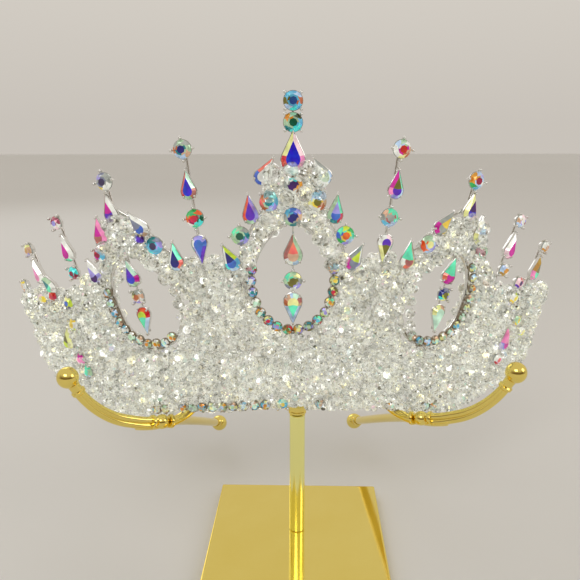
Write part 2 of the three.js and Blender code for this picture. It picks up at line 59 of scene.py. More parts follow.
Array = np.ndarray
Place = tuple[float, float]
log = logging.getLogger("bridal_crown")


class Slot(Enum):
    """Material slots of the record."""

    GOLD = "gold_plate"
    SILVER = "silver_wire"
    BEADS = "clear_beads"
    STONES = "aurora_stones"
    CHAIN = "cup_chain"


class Hue(Enum):
    """Colours that the coated stones show, as seen on a screen: partly the coating's own colours and partly
    painted glints and reflections on single facets.
    """

    NAVY = "#151a72"
    ROYAL = "#1a1ec8"
    BLUE = "#3b63c4"
    SKY = "#5fb6da"
    ICE = "#b4d0ee"
    CYAN = "#46dede"
    TEAL = "#0c7f86"
    EMERALD = "#07573d"
    MINT = "#5fe3b4"
    SAGE = "#a8c9a6"
    LIME = "#c6dc3c"
    OLIVE = "#6d6a1a"
    MOSS = "#2f3f14"
    YELLOW = "#ecd04a"
    STRAW = "#e6e79a"
    AMBER = "#d9902a"
    ORANGE = "#e0561c"
    COPPER = "#b8693c"
    TAN = "#cfa88a"
    CORAL = "#e0685c"
    RED = "#c8142c"
    CRIMSON = "#8e0f37"
    MAGENTA = "#c8129c"
    PINK = "#f08cc0"
    BLUSH = "#f3d3dc"
    VIOLET = "#5a24b8"
    PURPLE = "#3b0f62"
    INDIGO = "#3a2ec0"
    LAVENDER = "#9f97e0"
    SLATE = "#7c8296"
    PEARL = "#e9ece6"
    SMOKE = "#9aa09a"
    GREEN = "#2fae58"
    ROSEWOOD = "#a9675f"
    MAUVE = "#a8546a"
    DUSK = "#3c3158"
    GOLD = "#b8913f"
    DENIM = "#2b5596"
    FOAM = "#c4ecd4"

    @property
    def linear(self) -> tuple[float, float, float]:
        """The colour in linear light."""
        channels = (int(self.value[i:i + 2], 16) / 255 for i in (1, 3, 5))
        return tuple(c / 12.92 if c <= 0.04045 else ((c + 0.055) / 1.055) ** 2.4 for c in channels)


def unit(vectors: Array) -> Array:
    """Vectors scaled to length one along the last axis."""
    return vectors / np.linalg.norm(vectors, axis=-1, keepdims=True)


@dataclass(frozen=True)
class Wall:
    """The crown's wall: a flared half oval, open at the back and tilted back on its stand.

    From swell_from degrees to swell_to its sides swell, and from there on they flare less.
    """

    half_width: float = 86.6
    depth: float = 67.2
    side_flare: float = 0.49
    front_flare: float = 0.308
    tilt: float = 17.4
    front: float = -5.0
    bottom: float = 51.6
    shift: float = -1.7
    swell_from: float = 45.0
    swell_to: float = 78.0
    swell: float = 8.0
    less_flare: float = 0.15
    probe: float = 0.05

    def radius(self, height: Array | float) -> Array | float:
        """Half width of the wall at a height, which turns angles into lengths along the wall."""
        return self.half_width + self.side_flare * height

    def points(self, turns: Array, heights: Array, outs: Array | float = 0.0) -> Array:
        """Points of the wall in the stand's frame.

        Args:
            turns: Turns in degrees.
            heights: Heights up the wall.
            outs: Distances out of the wall.

        Returns:
            One row of x, y and z for each place.
        """
        turns, heights, outs = np.broadcast_arrays(*(np.asarray(v, float) for v in (turns, heights, outs)))
        angle = np.radians(turns)
        share = np.clip((np.abs(turns) - self.swell_from) / (self.swell_to - self.swell_from), 0, 1)
        share = share * share * (3 - 2 * share)
        flare = self.side_flare - self.less_flare * share
        half = self.half_width + self.swell * share + flare * heights + outs
        back = self.depth - (self.depth + self.front_flare * heights + outs) * np.cos(angle)
        tilt = math.radians(self.tilt)
        return np.stack([
            self.shift + half * np.sin(angle),
            self.front + back * math.cos(tilt) + heights * math.sin(tilt),
            self.bottom + heights * math.cos(tilt) - back * math.sin(tilt),
        ], axis=-1)

    def bases(self, turns: Array, heights: Array, outs: Array | float = 0.0) -> Array:
        """Axes of the wall at places of it.

        Args:
            turns: Turns in degrees.
            heights: Heights up the wall.
            outs: Distances out of the wall.

        Returns:
            A 3 by 3 array for each place, whose columns run along the wall, up it and out of it.
        """
        turns, heights = np.asarray(turns, float), np.asarray(heights, float)
        step = self.probe
        up = unit(self.points(turns, heights + step, outs) - self.points(turns, heights - step, outs))
        along = self.points(turns + step, heights, outs) - self.points(turns - step, heights, outs)
        outward = unit(np.cross(unit(along), up))
        return np.stack([np.cross(up, outward), up, outward], axis=-1)


WALL = Wall()

# Outline of the beaded wall on the right side: its upper edge from the middle out, then its lower edge
UPPER_EDGE: list[Place] = [
    (0, 76.5), (3.0, 75.2), (4.9, 71.5), (5.2, 64.0), (6.6, 57.0), (8.4, 50.0), (10.5, 48.0), (13.5, 51.0),
    (16.8, 50.5), (20.3, 48.5), (23.6, 55.5), (26.5, 61.5), (29.2, 64.0), (32.0, 63.0), (34.6, 57.5),
    (36.5, 51.5), (39.5, 46.0), (44, 43.0), (51, 41.5), (59, 43.0), (70, 45.0), (79, 42.0), (86, 33.0),
]
LOWER_EDGE: list[Place] = [
    (0, 0.5), (12, -0.4), (24, -1.2), (34, -2.2), (44, -1.8), (52, 0.2), (60, 4.0), (70, 9.5), (80, 14.5),
    (86, 22.0),
]
# Clear openings of the arches
MIDDLE_OPENING: list[Place] = [
    (0, 58.3), (1.8, 57.0), (3.2, 54.6), (4.9, 50.4), (6.0, 45.6), (6.3, 41.0), (6.0, 36.6), (5.0, 32.2),
    (3.1, 28.8), (0, 27.2),
]
SIDE_OPENING: list[Place] = [
    (29.5, 50.4), (31.2, 49.6), (33.2, 46.4), (34.4, 42.4), (35.0, 38.4), (34.9, 34.0), (34.3, 29.8),
    (32.8, 26.0), (29.2, 23.2), (25.2, 23.6), (23.0, 27.2), (22.2, 31.4), (22.1, 36.0), (22.9, 40.4),
    (24.8, 44.0), (27.2, 47.4),
]


def mirrored(places: list[Place]) -> list[Place]:
    """The same places on the other side of the middle, in the reverse order."""
    return [(-turn, height) for turn, height in reversed(places)]


def edge_height(edge: list[Place], turns: Array) -> Array:
    """Height of an edge of the beaded wall at turns on either side."""
    table = np.array(edge, float)
    return np.interp(np.abs(turns), table[:, 0], table[:, 1])


def flat(turns: Array, heights: Array) -> Array:
    """Places of the wall laid out flat: length along the wall and height, one row for each."""
    turns, heights = np.asarray(turns, float), np.asarray(heights, float)
    return np.stack([np.radians(turns) * WALL.radius(heights), heights], axis=-1)


def unrolled(points: Array) -> tuple[Array, Array]:
    """Turns and heights of places that were laid out flat."""
    return np.degrees(points[:, 0] / WALL.radius(points[:, 1])), points[:, 1]


def grown(outline: list[Place], distance: float) -> list[Place]:
    """A closed outline pushed outward.

    Args:
        outline: Places in order round the outline.
        distance: How far to push it, in millimetres along the wall.

    Returns:
        The new outline, place for place.
    """
    table = np.array(outline, float)
    points = flat(table[:, 0], table[:, 1])
    following = np.roll(points, -1, axis=0)
    area = np.sum(points[:, 0] * following[:, 1] - points[:, 1] * following[:, 0])
    along = unit(following - np.roll(points, 1, axis=0))
    moved = points + np.sign(area) * distance * np.stack([along[:, 1], -along[:, 0]], axis=-1)
    return list(zip(*(values.tolist() for values in unrolled(moved))))


OPENINGS: dict[str, list[Place]] = {
    "centre": MIDDLE_OPENING + mirrored(MIDDLE_OPENING[1:-1]),
    "right": SIDE_OPENING,
    "left": mirrored(SIDE_OPENING),
}


def depth_inside(points: Array, outline: list[Place]) -> Array:
    """How far flat points lie inside an outline.

    Args:
        points: Rows of length along the wall and height.
        outline: A closed outline of places.

    Returns:
        The distance to the outline, positive inside it and negative outside.
    """
    table = np.array(outline, float)
    start = flat(table[:, 0], table[:, 1])
    side = np.roll(start, -1, axis=0) - start
    offset = points[:, None, :] - start[None]
    share = np.clip(np.sum(offset * side, axis=-1) / np.sum(side * side, axis=-1), 0, 1)
    distance = np.linalg.norm(offset - share[..., None] * side, axis=-1).min(axis=1)
    end = start + side
    x, y = points[:, 0, None], points[:, 1, None]
    crosses = (start[:, 1] > y) != (end[:, 1] > y)
    rise = np.where(side[:, 1] == 0, 1.0, side[:, 1])
    at = start[:, 0] + (y - start[:, 1]) * side[:, 0] / rise
    inside = np.sum(crosses & (x < at), axis=1) % 2 == 1
    return np.where(inside, distance, -distance)


@dataclass
class Skin:
    """Triangles over points in millimetres, each with a tint and the painted light that it gives off: painted
    glow and glints, not light from a lamp.
    """

    points: Array
    faces: Array
    tints: Array
    painted_glints: Array

    @classmethod
    def plain(cls, points: Array, faces: Array) -> "Skin":
        """A skin of one pale tint with no painted glow or glints."""
        faces = np.asarray(faces, int)
        return cls(np.asarray(points, float), faces, np.ones((len(faces), 3)), np.zeros((len(faces), 3)))

    @classmethod
    def of_polygons(cls, points: list, polygons: list[tuple[int, ...]], hues: list[Hue]) -> "Skin":
        """A skin of flat facets.

        Args:
            points: The corners' places.
            polygons: Corner numbers of each facet, in order round it.
            hues: One colour for each facet.

        Returns:
            The facets, cut into triangles.
        """
        faces, tints = [], []
        for corners, hue in zip(polygons, hues):
            for i in range(1, len(corners) - 1):
                faces.append((corners[0], corners[i], corners[i + 1]))
                tints.append(hue.linear)
        return cls(np.array(points, float), np.array(faces), np.array(tints), np.zeros((len(faces), 3)))

    def moved(self, basis: Array, origin: Array) -> "Skin":
        """The same skin, turned by a basis and moved to an origin."""
        return Skin(self.points @ np.asarray(basis).T + origin, self.faces, self.tints, self.painted_glints)


@dataclass
class Sheaf:
    """Skins gathered into one mesh."""

    skins: list[Skin] = field(default_factory=list)

    def add(self, *skins: Skin) -> None:
        """Takes more skins into the mesh."""
        self.skins.extend(skins)

    def build(self, name: str, material: bpy.types.Material, smooth: float = 0.0) -> bpy.types.Object:
        """Makes the Blender object, in metres.

        Args:
            name: The object's name.
            material: Its finish.
            smooth: Angle in degrees under which neighbouring faces shade as one surface. Zero is faceted.

        Returns:
            The new object, linked to the scene.
        """
        starts = np.cumsum([0] + [len(skin.points) for skin in self.skins[:-1]])
        points = np.concatenate([skin.points for skin in self.skins]) * MM
        faces = np.concatenate([skin.faces + start for skin, start in zip(self.skins, starts)])
        mesh = bpy.data.meshes.new(name)
        mesh.vertices.add(len(points))
        mesh.vertices.foreach_set("co", points.astype(np.float32).ravel())
        mesh.loops.add(faces.size)
        mesh.loops.foreach_set("vertex_index", faces.astype(np.int32).ravel())
        mesh.polygons.add(len(faces))
        mesh.polygons.foreach_set("loop_start", np.arange(0, faces.size, 3, dtype=np.int32))
        mesh.update(calc_edges=True)
        # Besides the tint, each face carries painted light: the glow and glints that it gives off as if lit
        for key in ("tint", "painted_glint"):
            colours = np.concatenate([getattr(skin, f"{key}s") for skin in self.skins])
            values = np.concatenate([colours, np.ones((len(colours), 1))], axis=1).astype(np.float32)
            mesh.attributes.new(key, "FLOAT_COLOR", "FACE").data.foreach_set("color", values.ravel())
        if smooth > 0:
            mesh.shade_smooth()
            mesh.set_sharp_from_angle(angle=math.radians(smooth))
        else:
            mesh.shade_flat()
        mesh.materials.append(material)
        piece = bpy.data.objects.new(name, mesh)
        bpy.context.scene.collection.objects.link(piece)
        return piece


def joined_rings(rings: Array, closed: bool = False, caps: bool = True) -> Skin:
    """A skin through rings of points.

    Args:
        rings: Points by ring and by place in the ring.
        closed: Whether the last ring meets the first.
        caps: Whether open ends are closed by a fan.

    Returns:
        The skin, with its faces pointing out where the rings turn left round their path.
    """
    rows, count = rings.shape[:2]
    faces = []
    for row in range(rows if closed else rows - 1):
        a = row * count + np.arange(count)
        b = row * count + (np.arange(count) + 1) % count
        c, d = [(corner + count) % (rows * count) for corner in (b, a)]
        faces += [np.stack([a, b, c], 1), np.stack([a, c, d], 1)]
    if caps and not closed:
        last = (rows - 1) * count
        fan = np.arange(1, count - 1)
        faces.append(np.stack([np.zeros_like(fan), fan + 1, fan], 1))
        faces.append(np.stack([np.full_like(fan, last), last + fan, last + fan + 1], 1))
    return Skin.plain(rings.reshape(-1, 3), np.concatenate(faces))


def smooth_path(points: Array, steps: int, closed: bool = False) -> Array:
    """Points along a centripetal spline.

    Args:
        points: The points that it passes through.
        steps: Steps in each span.
        closed: Whether it comes back to its start.

    Returns:
        The points of the finer path.
    """
    points = np.asarray(points, float)
    if closed:
        whole = np.concatenate([points[-1:], points, points[:2]])
    else:
        whole = np.concatenate([[2 * points[0] - points[1]], points, [2 * points[-1] - points[-2]]])
    path = []
    for i in range(1, len(whole) - 2):
        four = whole[i - 1:i + 3]
        knots = np.concatenate([[0], np.cumsum(np.sqrt(np.linalg.norm(np.diff(four, axis=0), axis=1)))])
        spans = ((knots[:3], knots[1:]), (knots[:2], knots[2:]), (knots[1:2], knots[2:3]))
        for t in np.linspace(knots[1], knots[2], steps, endpoint=False):
            row = four
            for low, high in spans:
                share = ((t - low) / (high - low))[:, None]
                row = row[:-1] * (1 - share) + row[1:] * share
            path.append(row[0])
    if not closed:
        path.append(points[-1])
    return np.array(path)


def tube(path: Array, radii: float | Array, sides: int = 12, closed: bool = False) -> Skin:
    """A round bar along a path.

    Args:
        path: Points of its centre line.
        radii: One radius, or one for each point.
        sides: Points round its section.
        closed: Whether it is a ring.

    Returns:
        The bar's skin.
    """
    path = np.asarray(path, float)
    radii = np.broadcast_to(radii, len(path))
    ahead = np.roll(path, -1, axis=0) - np.roll(path, 1, axis=0)
    if not closed:
        ahead[0], ahead[-1] = path[1] - path[0], path[-1] - path[-2]
    ahead = unit(ahead)
    angles = np.linspace(0, 2 * np.pi, sides, endpoint=False)
    rings = []
    side = unit(np.cross(ahead[0], WIRE_SLANT))
    for point, direction, radius in zip(path, ahead, radii):
        side = unit(side - direction * np.dot(side, direction))
        other = np.cross(direction, side)
        rings.append(point + radius * (np.cos(angles)[:, None] * side + np.sin(angles)[:, None] * other))
    return joined_rings(np.array(rings), closed)


def turned(profile: list[tuple[float, float]], sides: int = 32) -> Skin:
    """A solid turned about the z axis.

    Args:
        profile: Radius and height of each step, from the low pole up to the high one, poles left out.
        sides: Points round it.

    Returns:
        The skin, closed flat at both ends.
    """
    angles = np.linspace(0, 2 * np.pi, sides, endpoint=False)
    ring = np.stack([np.cos(angles), np.sin(angles), np.zeros(sides)], axis=-1)
    rings = np.array([ring * [radius, radius, 0] + [0, 0, height] for radius, height in profile])
    return joined_rings(rings)


def ball_profile(radius: float, low: float = -POLE, steps: int = 14) -> list[tuple[float, float]]:
    """Radius and height round a ball about its own middle, from a latitude in degrees up to the top."""
    return [(radius * math.cos(a), radius * math.sin(a)) for a in np.radians(np.linspace(low, POLE, steps))]


def basis_along(direction: Array) -> Array:
    """Axes that follow a direction.

    Args:
        direction: Where the third axis points.

    Returns:
        A 3 by 3 array with the axes as its columns.
    """
    ahead = unit(np.asarray(direction, float))
    side = unit(np.cross(ahead, BASIS_SLANT))
    return np.stack([side, np.cross(ahead, side), ahead], axis=-1)


def add_node(tree: bpy.types.NodeTree, kind: str, **values: object) -> bpy.types.Node:
    """Adds a shader node.

    Args:
        tree: The tree that gets it.
        kind: The node's type without its ShaderNode prefix.
        **values: Attributes to set on the node.

    Returns:
        The new node.
    """
    made = tree.nodes.new(f"ShaderNode{kind}")
    for key, value in values.items():
        setattr(made, key, value)
    return made


def set_inputs(node: bpy.types.Node, **values: object) -> None:
    """Sets a node's sockets, with each underscore in a keyword standing for a space."""
    for key, value in values.items():
        node.inputs[key.replace("_", " ")].default_value = value


def link(source: bpy.types.Node, output: str, target: bpy.types.Node, socket: str | int) -> None:
    """Links a node's output to a socket of another node in the same tree."""
    source.id_data.links.new(source.outputs[output], target.inputs[socket])


def new_group(name: str, inputs: dict[str, tuple], outputs: dict[str, str]) -> bpy.types.NodeTree:
    """Makes a shader node group with named sockets.

    Args:
        name: The group's name.
        inputs: Socket name to its type and default value.
        outputs: Socket name to its type.

    Returns:
        The group, with its input and output nodes in place.
    """
    group = bpy.data.node_groups.new(name, "ShaderNodeTree")
    for key, (kind, default) in inputs.items():
        socket = group.interface.new_socket(key, in_out="INPUT", socket_type=f"NodeSocket{kind}")
        socket.default_value = default
    for key, kind in outputs.items():
        group.interface.new_socket(key, in_out="OUTPUT", socket_type=f"NodeSocket{kind}")
    group.nodes.new("NodeGroupInput").name = "in"
    group.nodes.new("NodeGroupOutput").name = "out"
    return group


@functools.cache
def handling_marks() -> bpy.types.NodeTree:
    """The node group for polished metal: cloudy smudges in the gloss and faint polishing lines.

    Returns:
        The group, which puts out a roughness, a height for a bump and the smudges' cloud.
    """
    group = new_group(
        "handling_marks",
        {"Roughness": ("Float", 0.1), "Smudge": ("Float", 0.06), "Scale": ("Float", 60.0)},
        {"Roughness": "Float", "Height": "Float", "Cloud": "Float"},
    )
    ends = group.nodes
    place = add_node(group, "TexCoord")
    cloud = add_node(group, "TexNoise")
    set_inputs(cloud, Detail=4.0, Roughness=0.6)
    link(place, "Object", cloud, "Vector")
    link(ends["in"], "Scale", cloud, "Scale")
    stretch = add_node(group, "Mapping")
    stretch.inputs["Scale"].default_value = (40, 600, 40)
    link(place, "Object", stretch, "Vector")
    lines = add_node(group, "TexNoise")
    set_inputs(lines, Scale=12.0, Detail=2.0)
    link(stretch, "Vector", lines, "Vector")
    smudge = add_node(group, "Math", operation="MULTIPLY_ADD")
    link(cloud, "Fac", smudge, 0)
    link(ends["in"], "Smudge", smudge, 1)
    link(ends["in"], "Roughness", smudge, 2)
    link(smudge, "Value", ends["out"], "Roughness")
    link(lines, "Fac", ends["out"], "Height")
    link(cloud, "Fac", ends["out"], "Cloud")
    return group


@functools.cache
def aurora_film() -> bpy.types.NodeTree:
    """The node group for the aurora-borealis coating: each facet's tint drifts a little in hue and value.

    Returns:
        The group, which puts out the colour.
    """
    group = new_group(
        "aurora_film",
        {"Tint": ("Color", (1, 1, 1, 1)), "Drift": ("Float", 0.06), "Scale": ("Float", 420.0)},
        {"Color": "Color"},
    )
    ends = group.nodes
    place = add_node(group, "TexCoord")
    hue_noise = add_node(group, "TexNoise")
    set_inputs(hue_noise, Detail=1.0)
    value_noise = add_node(group, "TexNoise", noise_dimensions="4D")
    set_inputs(value_noise, Detail=1.0, W=3.0)
    for noise in (hue_noise, value_noise):
        link(place, "Object", noise, "Vector")
        link(ends["in"], "Scale", noise, "Scale")
    centred = add_node(group, "Math", operation="SUBTRACT")
    centred.inputs[1].default_value = 0.5
    link(hue_noise, "Fac", centred, 0)
    shift = add_node(group, "Math", operation="MULTIPLY_ADD")
    shift.inputs[2].default_value = 0.5
    link(centred, "Value", shift, 0)
    link(ends["in"], "Drift", shift, 1)
    value = add_node(group, "MapRange")
    set_inputs(value, From_Min=0.25, From_Max=0.75, To_Min=0.72, To_Max=1.3)
    link(value_noise, "Fac", value, "Value")
    colour = add_node(group, "HueSaturation")
    link(ends["in"], "Tint", colour, "Color")
    link(shift, "Value", colour, "Hue")
    link(value, "Result", colour, "Value")
    link(colour, "Color", ends["out"], "Color")
    return group


def new_material(name: str) -> tuple[bpy.types.Material, bpy.types.Node]:
    """An empty node material.

    Args:
        name: The material's name.

    Returns:
        The material and its Principled shader.
    """
    material = bpy.data.materials.new(name)
    material.use_nodes = True
    return material, material.node_tree.nodes["Principled BSDF"]


def place_group(tree: bpy.types.NodeTree, group: bpy.types.NodeTree, **values: object) -> bpy.types.Node:
    """Places a node group in a material.

    Args:
        tree: The material's node tree.
        group: The node group.
        **values: Values of its sockets.

    Returns:
        The node that holds the group.
    """
    placed = add_node(tree, "Group", node_tree=group)
    set_inputs(placed, **values)
    return placed


@dataclass(frozen=True)
class MetalFinish:
    """Polished plated metal."""

    name: str
    colour: tuple[float, float, float]
    shade: tuple[float, float, float]
    roughness: float
    smudge: float
    scale: float = 60.0
    bump: float = 0.02

    def build(self) -> bpy.types.Material:
        """Makes the material.

        Returns:
            The new material.
        """
        material, shader = new_material(self.name)
        tree = material.node_tree
        marks = place_group(
            tree, handling_marks(), Roughness=self.roughness, Smudge=self.smudge, Scale=self.scale)
        link(marks, "Roughness", shader, "Roughness")
        blend = add_node(tree, "Mix", data_type="RGBA")
        for socket in blend.inputs:
            if socket.type == "RGBA" and socket.name in ("A", "B"):
                socket.default_value = (*(self.shade if socket.name == "A" else self.colour), 1)
        link(marks, "Cloud", blend, "Factor")
        result = next(socket for socket in blend.outputs if socket.type == "RGBA")
        tree.links.new(result, shader.inputs["Base Color"])
        bump = add_node(tree, "Bump")
        set_inputs(bump, Strength=self.bump, Distance=0.0002)
        link(marks, "Height", bump, "Height")
        link(bump, "Normal", shader, "Normal")
        set_inputs(shader, Metallic=1.0)
        return material


@dataclass(frozen=True)
class StoneFinish:
    """Foil-backed glass with an aurora-borealis coating. Each facet has its own tint, and gives off a painted
    glow of that tint, though it is no lamp.
    """

    name: str = "aurora_stone"
    painted_glow: float = 0.32

    def build(self) -> bpy.types.Material:
        """Makes the material.

        Returns:
            The new material.
        """
        material, shader = new_material(self.name)
        tree = material.node_tree
        tint = add_node(tree, "Attribute", attribute_name="tint")
        film = place_group(tree, aurora_film(), Drift=0.07, Scale=420.0)
        link(tint, "Color", film, "Tint")
        link(film, "Color", shader, "Base Color")
        link(film, "Color", shader, "Emission Color")
        set_inputs(shader, Metallic=0.35, Roughness=0.08, Coat_Weight=1.0, Coat_Roughness=0.02)
        # Painted glow: the facets give off light of their own tint
        set_inputs(shader, Emission_Strength=self.painted_glow)
        return material


@dataclass(frozen=True)
class CrystalFinish:
    """Clear cut glass. A facet's tint greys or colours it, and its painted glint is light that it gives off:
    painted glow and glints, not light from a lamp.
    """

    name: str = "clear_crystal"
    ior: float = 1.52

    def build(self) -> bpy.types.Material:
        """Makes the material.

        Returns:
            The new material.
        """
        material, shader = new_material(self.name)
        tree = material.node_tree
        tint = add_node(tree, "Attribute", attribute_name="tint")
        painted_glint = add_node(tree, "Attribute", attribute_name="painted_glint")
        film = place_group(tree, aurora_film(), Drift=0.02, Scale=300.0)
        link(tint, "Color", film, "Tint")
        link(film, "Color", shader, "Base Color")
        # Emission carries the painted glow and glints of the facets
        link(painted_glint, "Color", shader, "Emission Color")
        set_inputs(shader, Metallic=0.0, Roughness=0.03, IOR=self.ior, Transmission_Weight=0.8)
        set_inputs(shader, Emission_Strength=1.0)
        return material


GOLD = MetalFinish("polished_gold", (0.94, 0.77, 0.23), (0.88, 0.69, 0.16), 0.05, 0.05)
SILVER = MetalFinish("silver_plate", (0.90, 0.90, 0.88), (0.72, 0.71, 0.68), 0.14, 0.12, scale=300.0)
LEMON = MetalFinish("satin_gold_post", (1.0, 0.98, 0.40), (1.0, 0.95, 0.36), 0.12, 0.06)
BRONZE = MetalFinish("dark_cup_metal", (0.42, 0.36, 0.27), (0.2, 0.165, 0.115), 0.2, 0.15, scale=400.0)


def finish_piece(piece: bpy.types.Object, slot: Slot, *nodes: str) -> None:
    """Makes a piece ride on the crown's body, and lets it stand for CAD nodes.

    Args:
        piece: The piece.
        slot: Its material slot; not used.
        *nodes: Names of the CAD nodes that it replaces.
    """
    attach(piece, BODY)
    if nodes:
        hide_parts(*nodes)
    log.info("%s: %d faces", piece.name, len(piece.data.polygons))


@dataclass
class DisplayStand:
    """Square plate, post, and the arms that hold the crown.

    The collar's foot and head and the neck behind a ball have steps of how far from the radius and how far
    along, and a knuckle's ring has radii and heights. The first hidden_steps of a rear rod lie inside its
    arm, and the last knuckle_steps of an arm aim its knuckle.
    """

    plate_side: float = 60.0
    plate_thickness: float = 4.0
    plate_round: float = 0.4
    plate_corner: float = 0.8
    plate_margin: float = 0.3
    plate_turn: float = -3.3
    post_radius: float = 2.6
    post_soft: float = 0.25
    post_foot: float = 4.05
    post_top: float = 47.6
    collar_radius: float = 2.95
    collar_bottom: float = 47.9
    collar_top: float = 51.0
    collar_foot: tuple = ((0.5, 0.0), (0.0, 0.3), (0.0, 0.9), (0.25, 1.1), (0.0, 1.3))
    collar_head: tuple = ((0.0, 0.3), (0.4, 0.0))
    rod_radius: float = 1.7
    tube_radius: float = 1.2
    tube_drops: tuple[float, float] = (0.8, -1.15)
    ball_radius: float = 3.4
    ball_from: float = -55.0
    neck: tuple = ((0.1, 3.4), (0.55, 3.0), (0.55, 2.2), (0.05, 1.8), (0.05, 0.6))
    knuckle_radius: float = 2.5
    knuckle_ring: tuple = ((1.7, -0.7), (2.3, -0.55), (2.45, 0.0), (2.3, 0.55), (1.7, 0.7))
    knuckle_reach: float = 3.3
    bar_height: float = 49.5
    arm_steps: int = 6
    rod_steps: int = 10
    hidden_steps: int = 12
    knuckle_steps: int = 8
    shift: float = WALL.shift
    front_arm: tuple = (
        (69.4, -16.0, 67.6), (66.4, -14.2, 61.4), (63.4, -12.3, 56.8), (59.9, -10.1, 52.9),
        (56.4, -7.8, 50.1), (52.6, -5.4, 48.1), (48.8, -3.0, 46.5), (44.0, 0.0, 45.4),
    )
    rear_rod: tuple = (
        (59.0, -8.6, 50.6), (53.0, -4.6, 46.6), (47.0, -0.4, 44.4), (42.5, 6.5, 42.6),
        (38.5, 26.0, 34.0), (30.3, 70.2, 12.7),
    )
    cross_bar: tuple = (
        (10, 6.2, 50.0), (24, 11.4, 50.0), (33, 11.6, 46.6), (37.5, 9.8, 43.4), (41.5, 5.5, 42.8),
        (44, 0.4, 44.4),
    )

    def route(self, places: tuple, sign: int) -> Array:
        """Points of a rod on one side of the stand."""
        return np.array([(self.shift + sign * x, y, z) for x, y, z in places], float)

    def build_plate(self, gold: bpy.types.Material) -> None:
        """Makes the square plate with soft edges.

        Args:
            gold: Its finish.
        """
        half = self.plate_side / 2 - self.plate_corner
        quarter = np.radians(np.linspace(0, 90, 5))
        corners = list(zip(np.radians([0, 90, 180, 270]), [(1, 1), (-1, 1), (-1, -1), (1, -1)]))
        outline = [(sx * half, sy * half, start + a) for start, (sx, sy) in corners for a in quarter]
        reach, soft = self.plate_corner, self.plate_round
        low = [(reach - soft * (1 - math.sin(a)), soft * (1 - math.cos(a))) for a in quarter]
        # A flat margin inside the rounding keeps the shading of the faces flat
        low.insert(0, (low[0][0] - self.plate_margin, 0.0))
        high = [(reach, self.plate_thickness - z) for reach, z in reversed(low)]
        rings = np.array([[(x + reach * math.cos(a), y + reach * math.sin(a), z) for x, y, a in outline]
                          for reach, z in low + high])
        turn = Matrix.Rotation(math.radians(self.plate_turn), 3, "Z")
        sheaf = Sheaf([joined_rings(rings).moved(np.array(turn), np.zeros(3))])
        finish_piece(sheaf.build("display_plate", gold, smooth=30), Slot.GOLD, "stand_plate")

    def build_post(self, gold: bpy.types.Material) -> None:
        """Makes the post, with softened ends.

        Args:
            gold: Its finish.
        """
        r, soft = self.post_radius, self.post_soft
        profile = [(r - soft, self.post_foot), (r, self.post_foot + soft), (r, self.post_top - soft),
                   (r - soft, self.post_top)]
        sheaf = Sheaf([turned(profile, sides=64)])
        finish_piece(sheaf.build("display_post", gold, smooth=30), Slot.GOLD, "stand_post")

    def ball_on_rod(self, path: Array, tip: int) -> Skin:
        """A ball with a stepped neck on one end of a rod.

        Args:
            path: The rod's points.
            tip: Number of the end point, first or last.

        Returns:
            The ball's skin, its neck lying along the rod.
        """
        inner = path[1] if tip == 0 else path[-2]
        neck = [(self.rod_radius + wider, -self.ball_radius - behind) for wider, behind in self.neck]
        profile = neck + ball_profile(self.ball_radius, self.ball_from, steps=18)
        return turned(profile, sides=36).moved(basis_along(path[tip] - inner), path[tip])

    def knuckle(self, middle: Array, direction: Array) -> list[Skin]:
        """The soldered joint of arm, rod and cross-bar: a ball between two rings.

        Args:
            middle: The ball's middle.
            direction: Where the rings' axis points.

        Returns:
            The skins of the ball and the rings.
        """
        basis = basis_along(direction)
        parts = [turned(ball_profile(self.knuckle_radius)).moved(basis, middle)]
        for offset in (-self.knuckle_reach, self.knuckle_reach):
            parts.append(turned(self.knuckle_ring).moved(basis, middle + basis[:, 2] * offset))
        return parts

    def build_arms(self, gold: bpy.types.Material) -> None:
        """Makes the collar, cross-bar, front arms, rear rods, knuckles and balls as one soldered piece.

        Args:
            gold: Its finish.
        """
        sheaf = Sheaf()
        r = self.collar_radius
        collar = [(r - inset, self.collar_bottom + rise) for inset, rise in self.collar_foot]
        collar += [(r - inset, self.collar_top - drop) for inset, drop in self.collar_head]
        sheaf.add(turned(collar, sides=64))
        left, right = self.route(self.cross_bar, -1)[::-1], self.route(self.cross_bar, 1)
        bar = np.concatenate([left, [[0, r, self.bar_height]], right])
        sheaf.add(tube(smooth_path(bar, self.arm_steps), self.rod_radius, sides=24))
        for sign in (-1, 1):
            arm = smooth_path(self.route(self.front_arm, sign), self.arm_steps)
            rear = smooth_path(self.route(self.rear_rod, sign), self.rod_steps)
            for drop in self.tube_drops:
                sheaf.add(tube(arm + [0, 0, drop], self.tube_radius, sides=20))
            sheaf.add(tube(rear[self.hidden_steps:], self.rod_radius, sides=24))
            sheaf.add(self.ball_on_rod(arm, 0), self.ball_on_rod(rear, -1))
            sheaf.add(*self.knuckle(arm[-1], arm[-1] - arm[-self.knuckle_steps]))
        finish_piece(sheaf.build("display_arms", gold, smooth=40), Slot.GOLD, "stand_arms")

    def build(self) -> None:
        """Makes the whole stand."""
        gold = GOLD.build()
        self.build_plate(gold)
        self.build_post(LEMON.build())
        self.build_arms(gold)


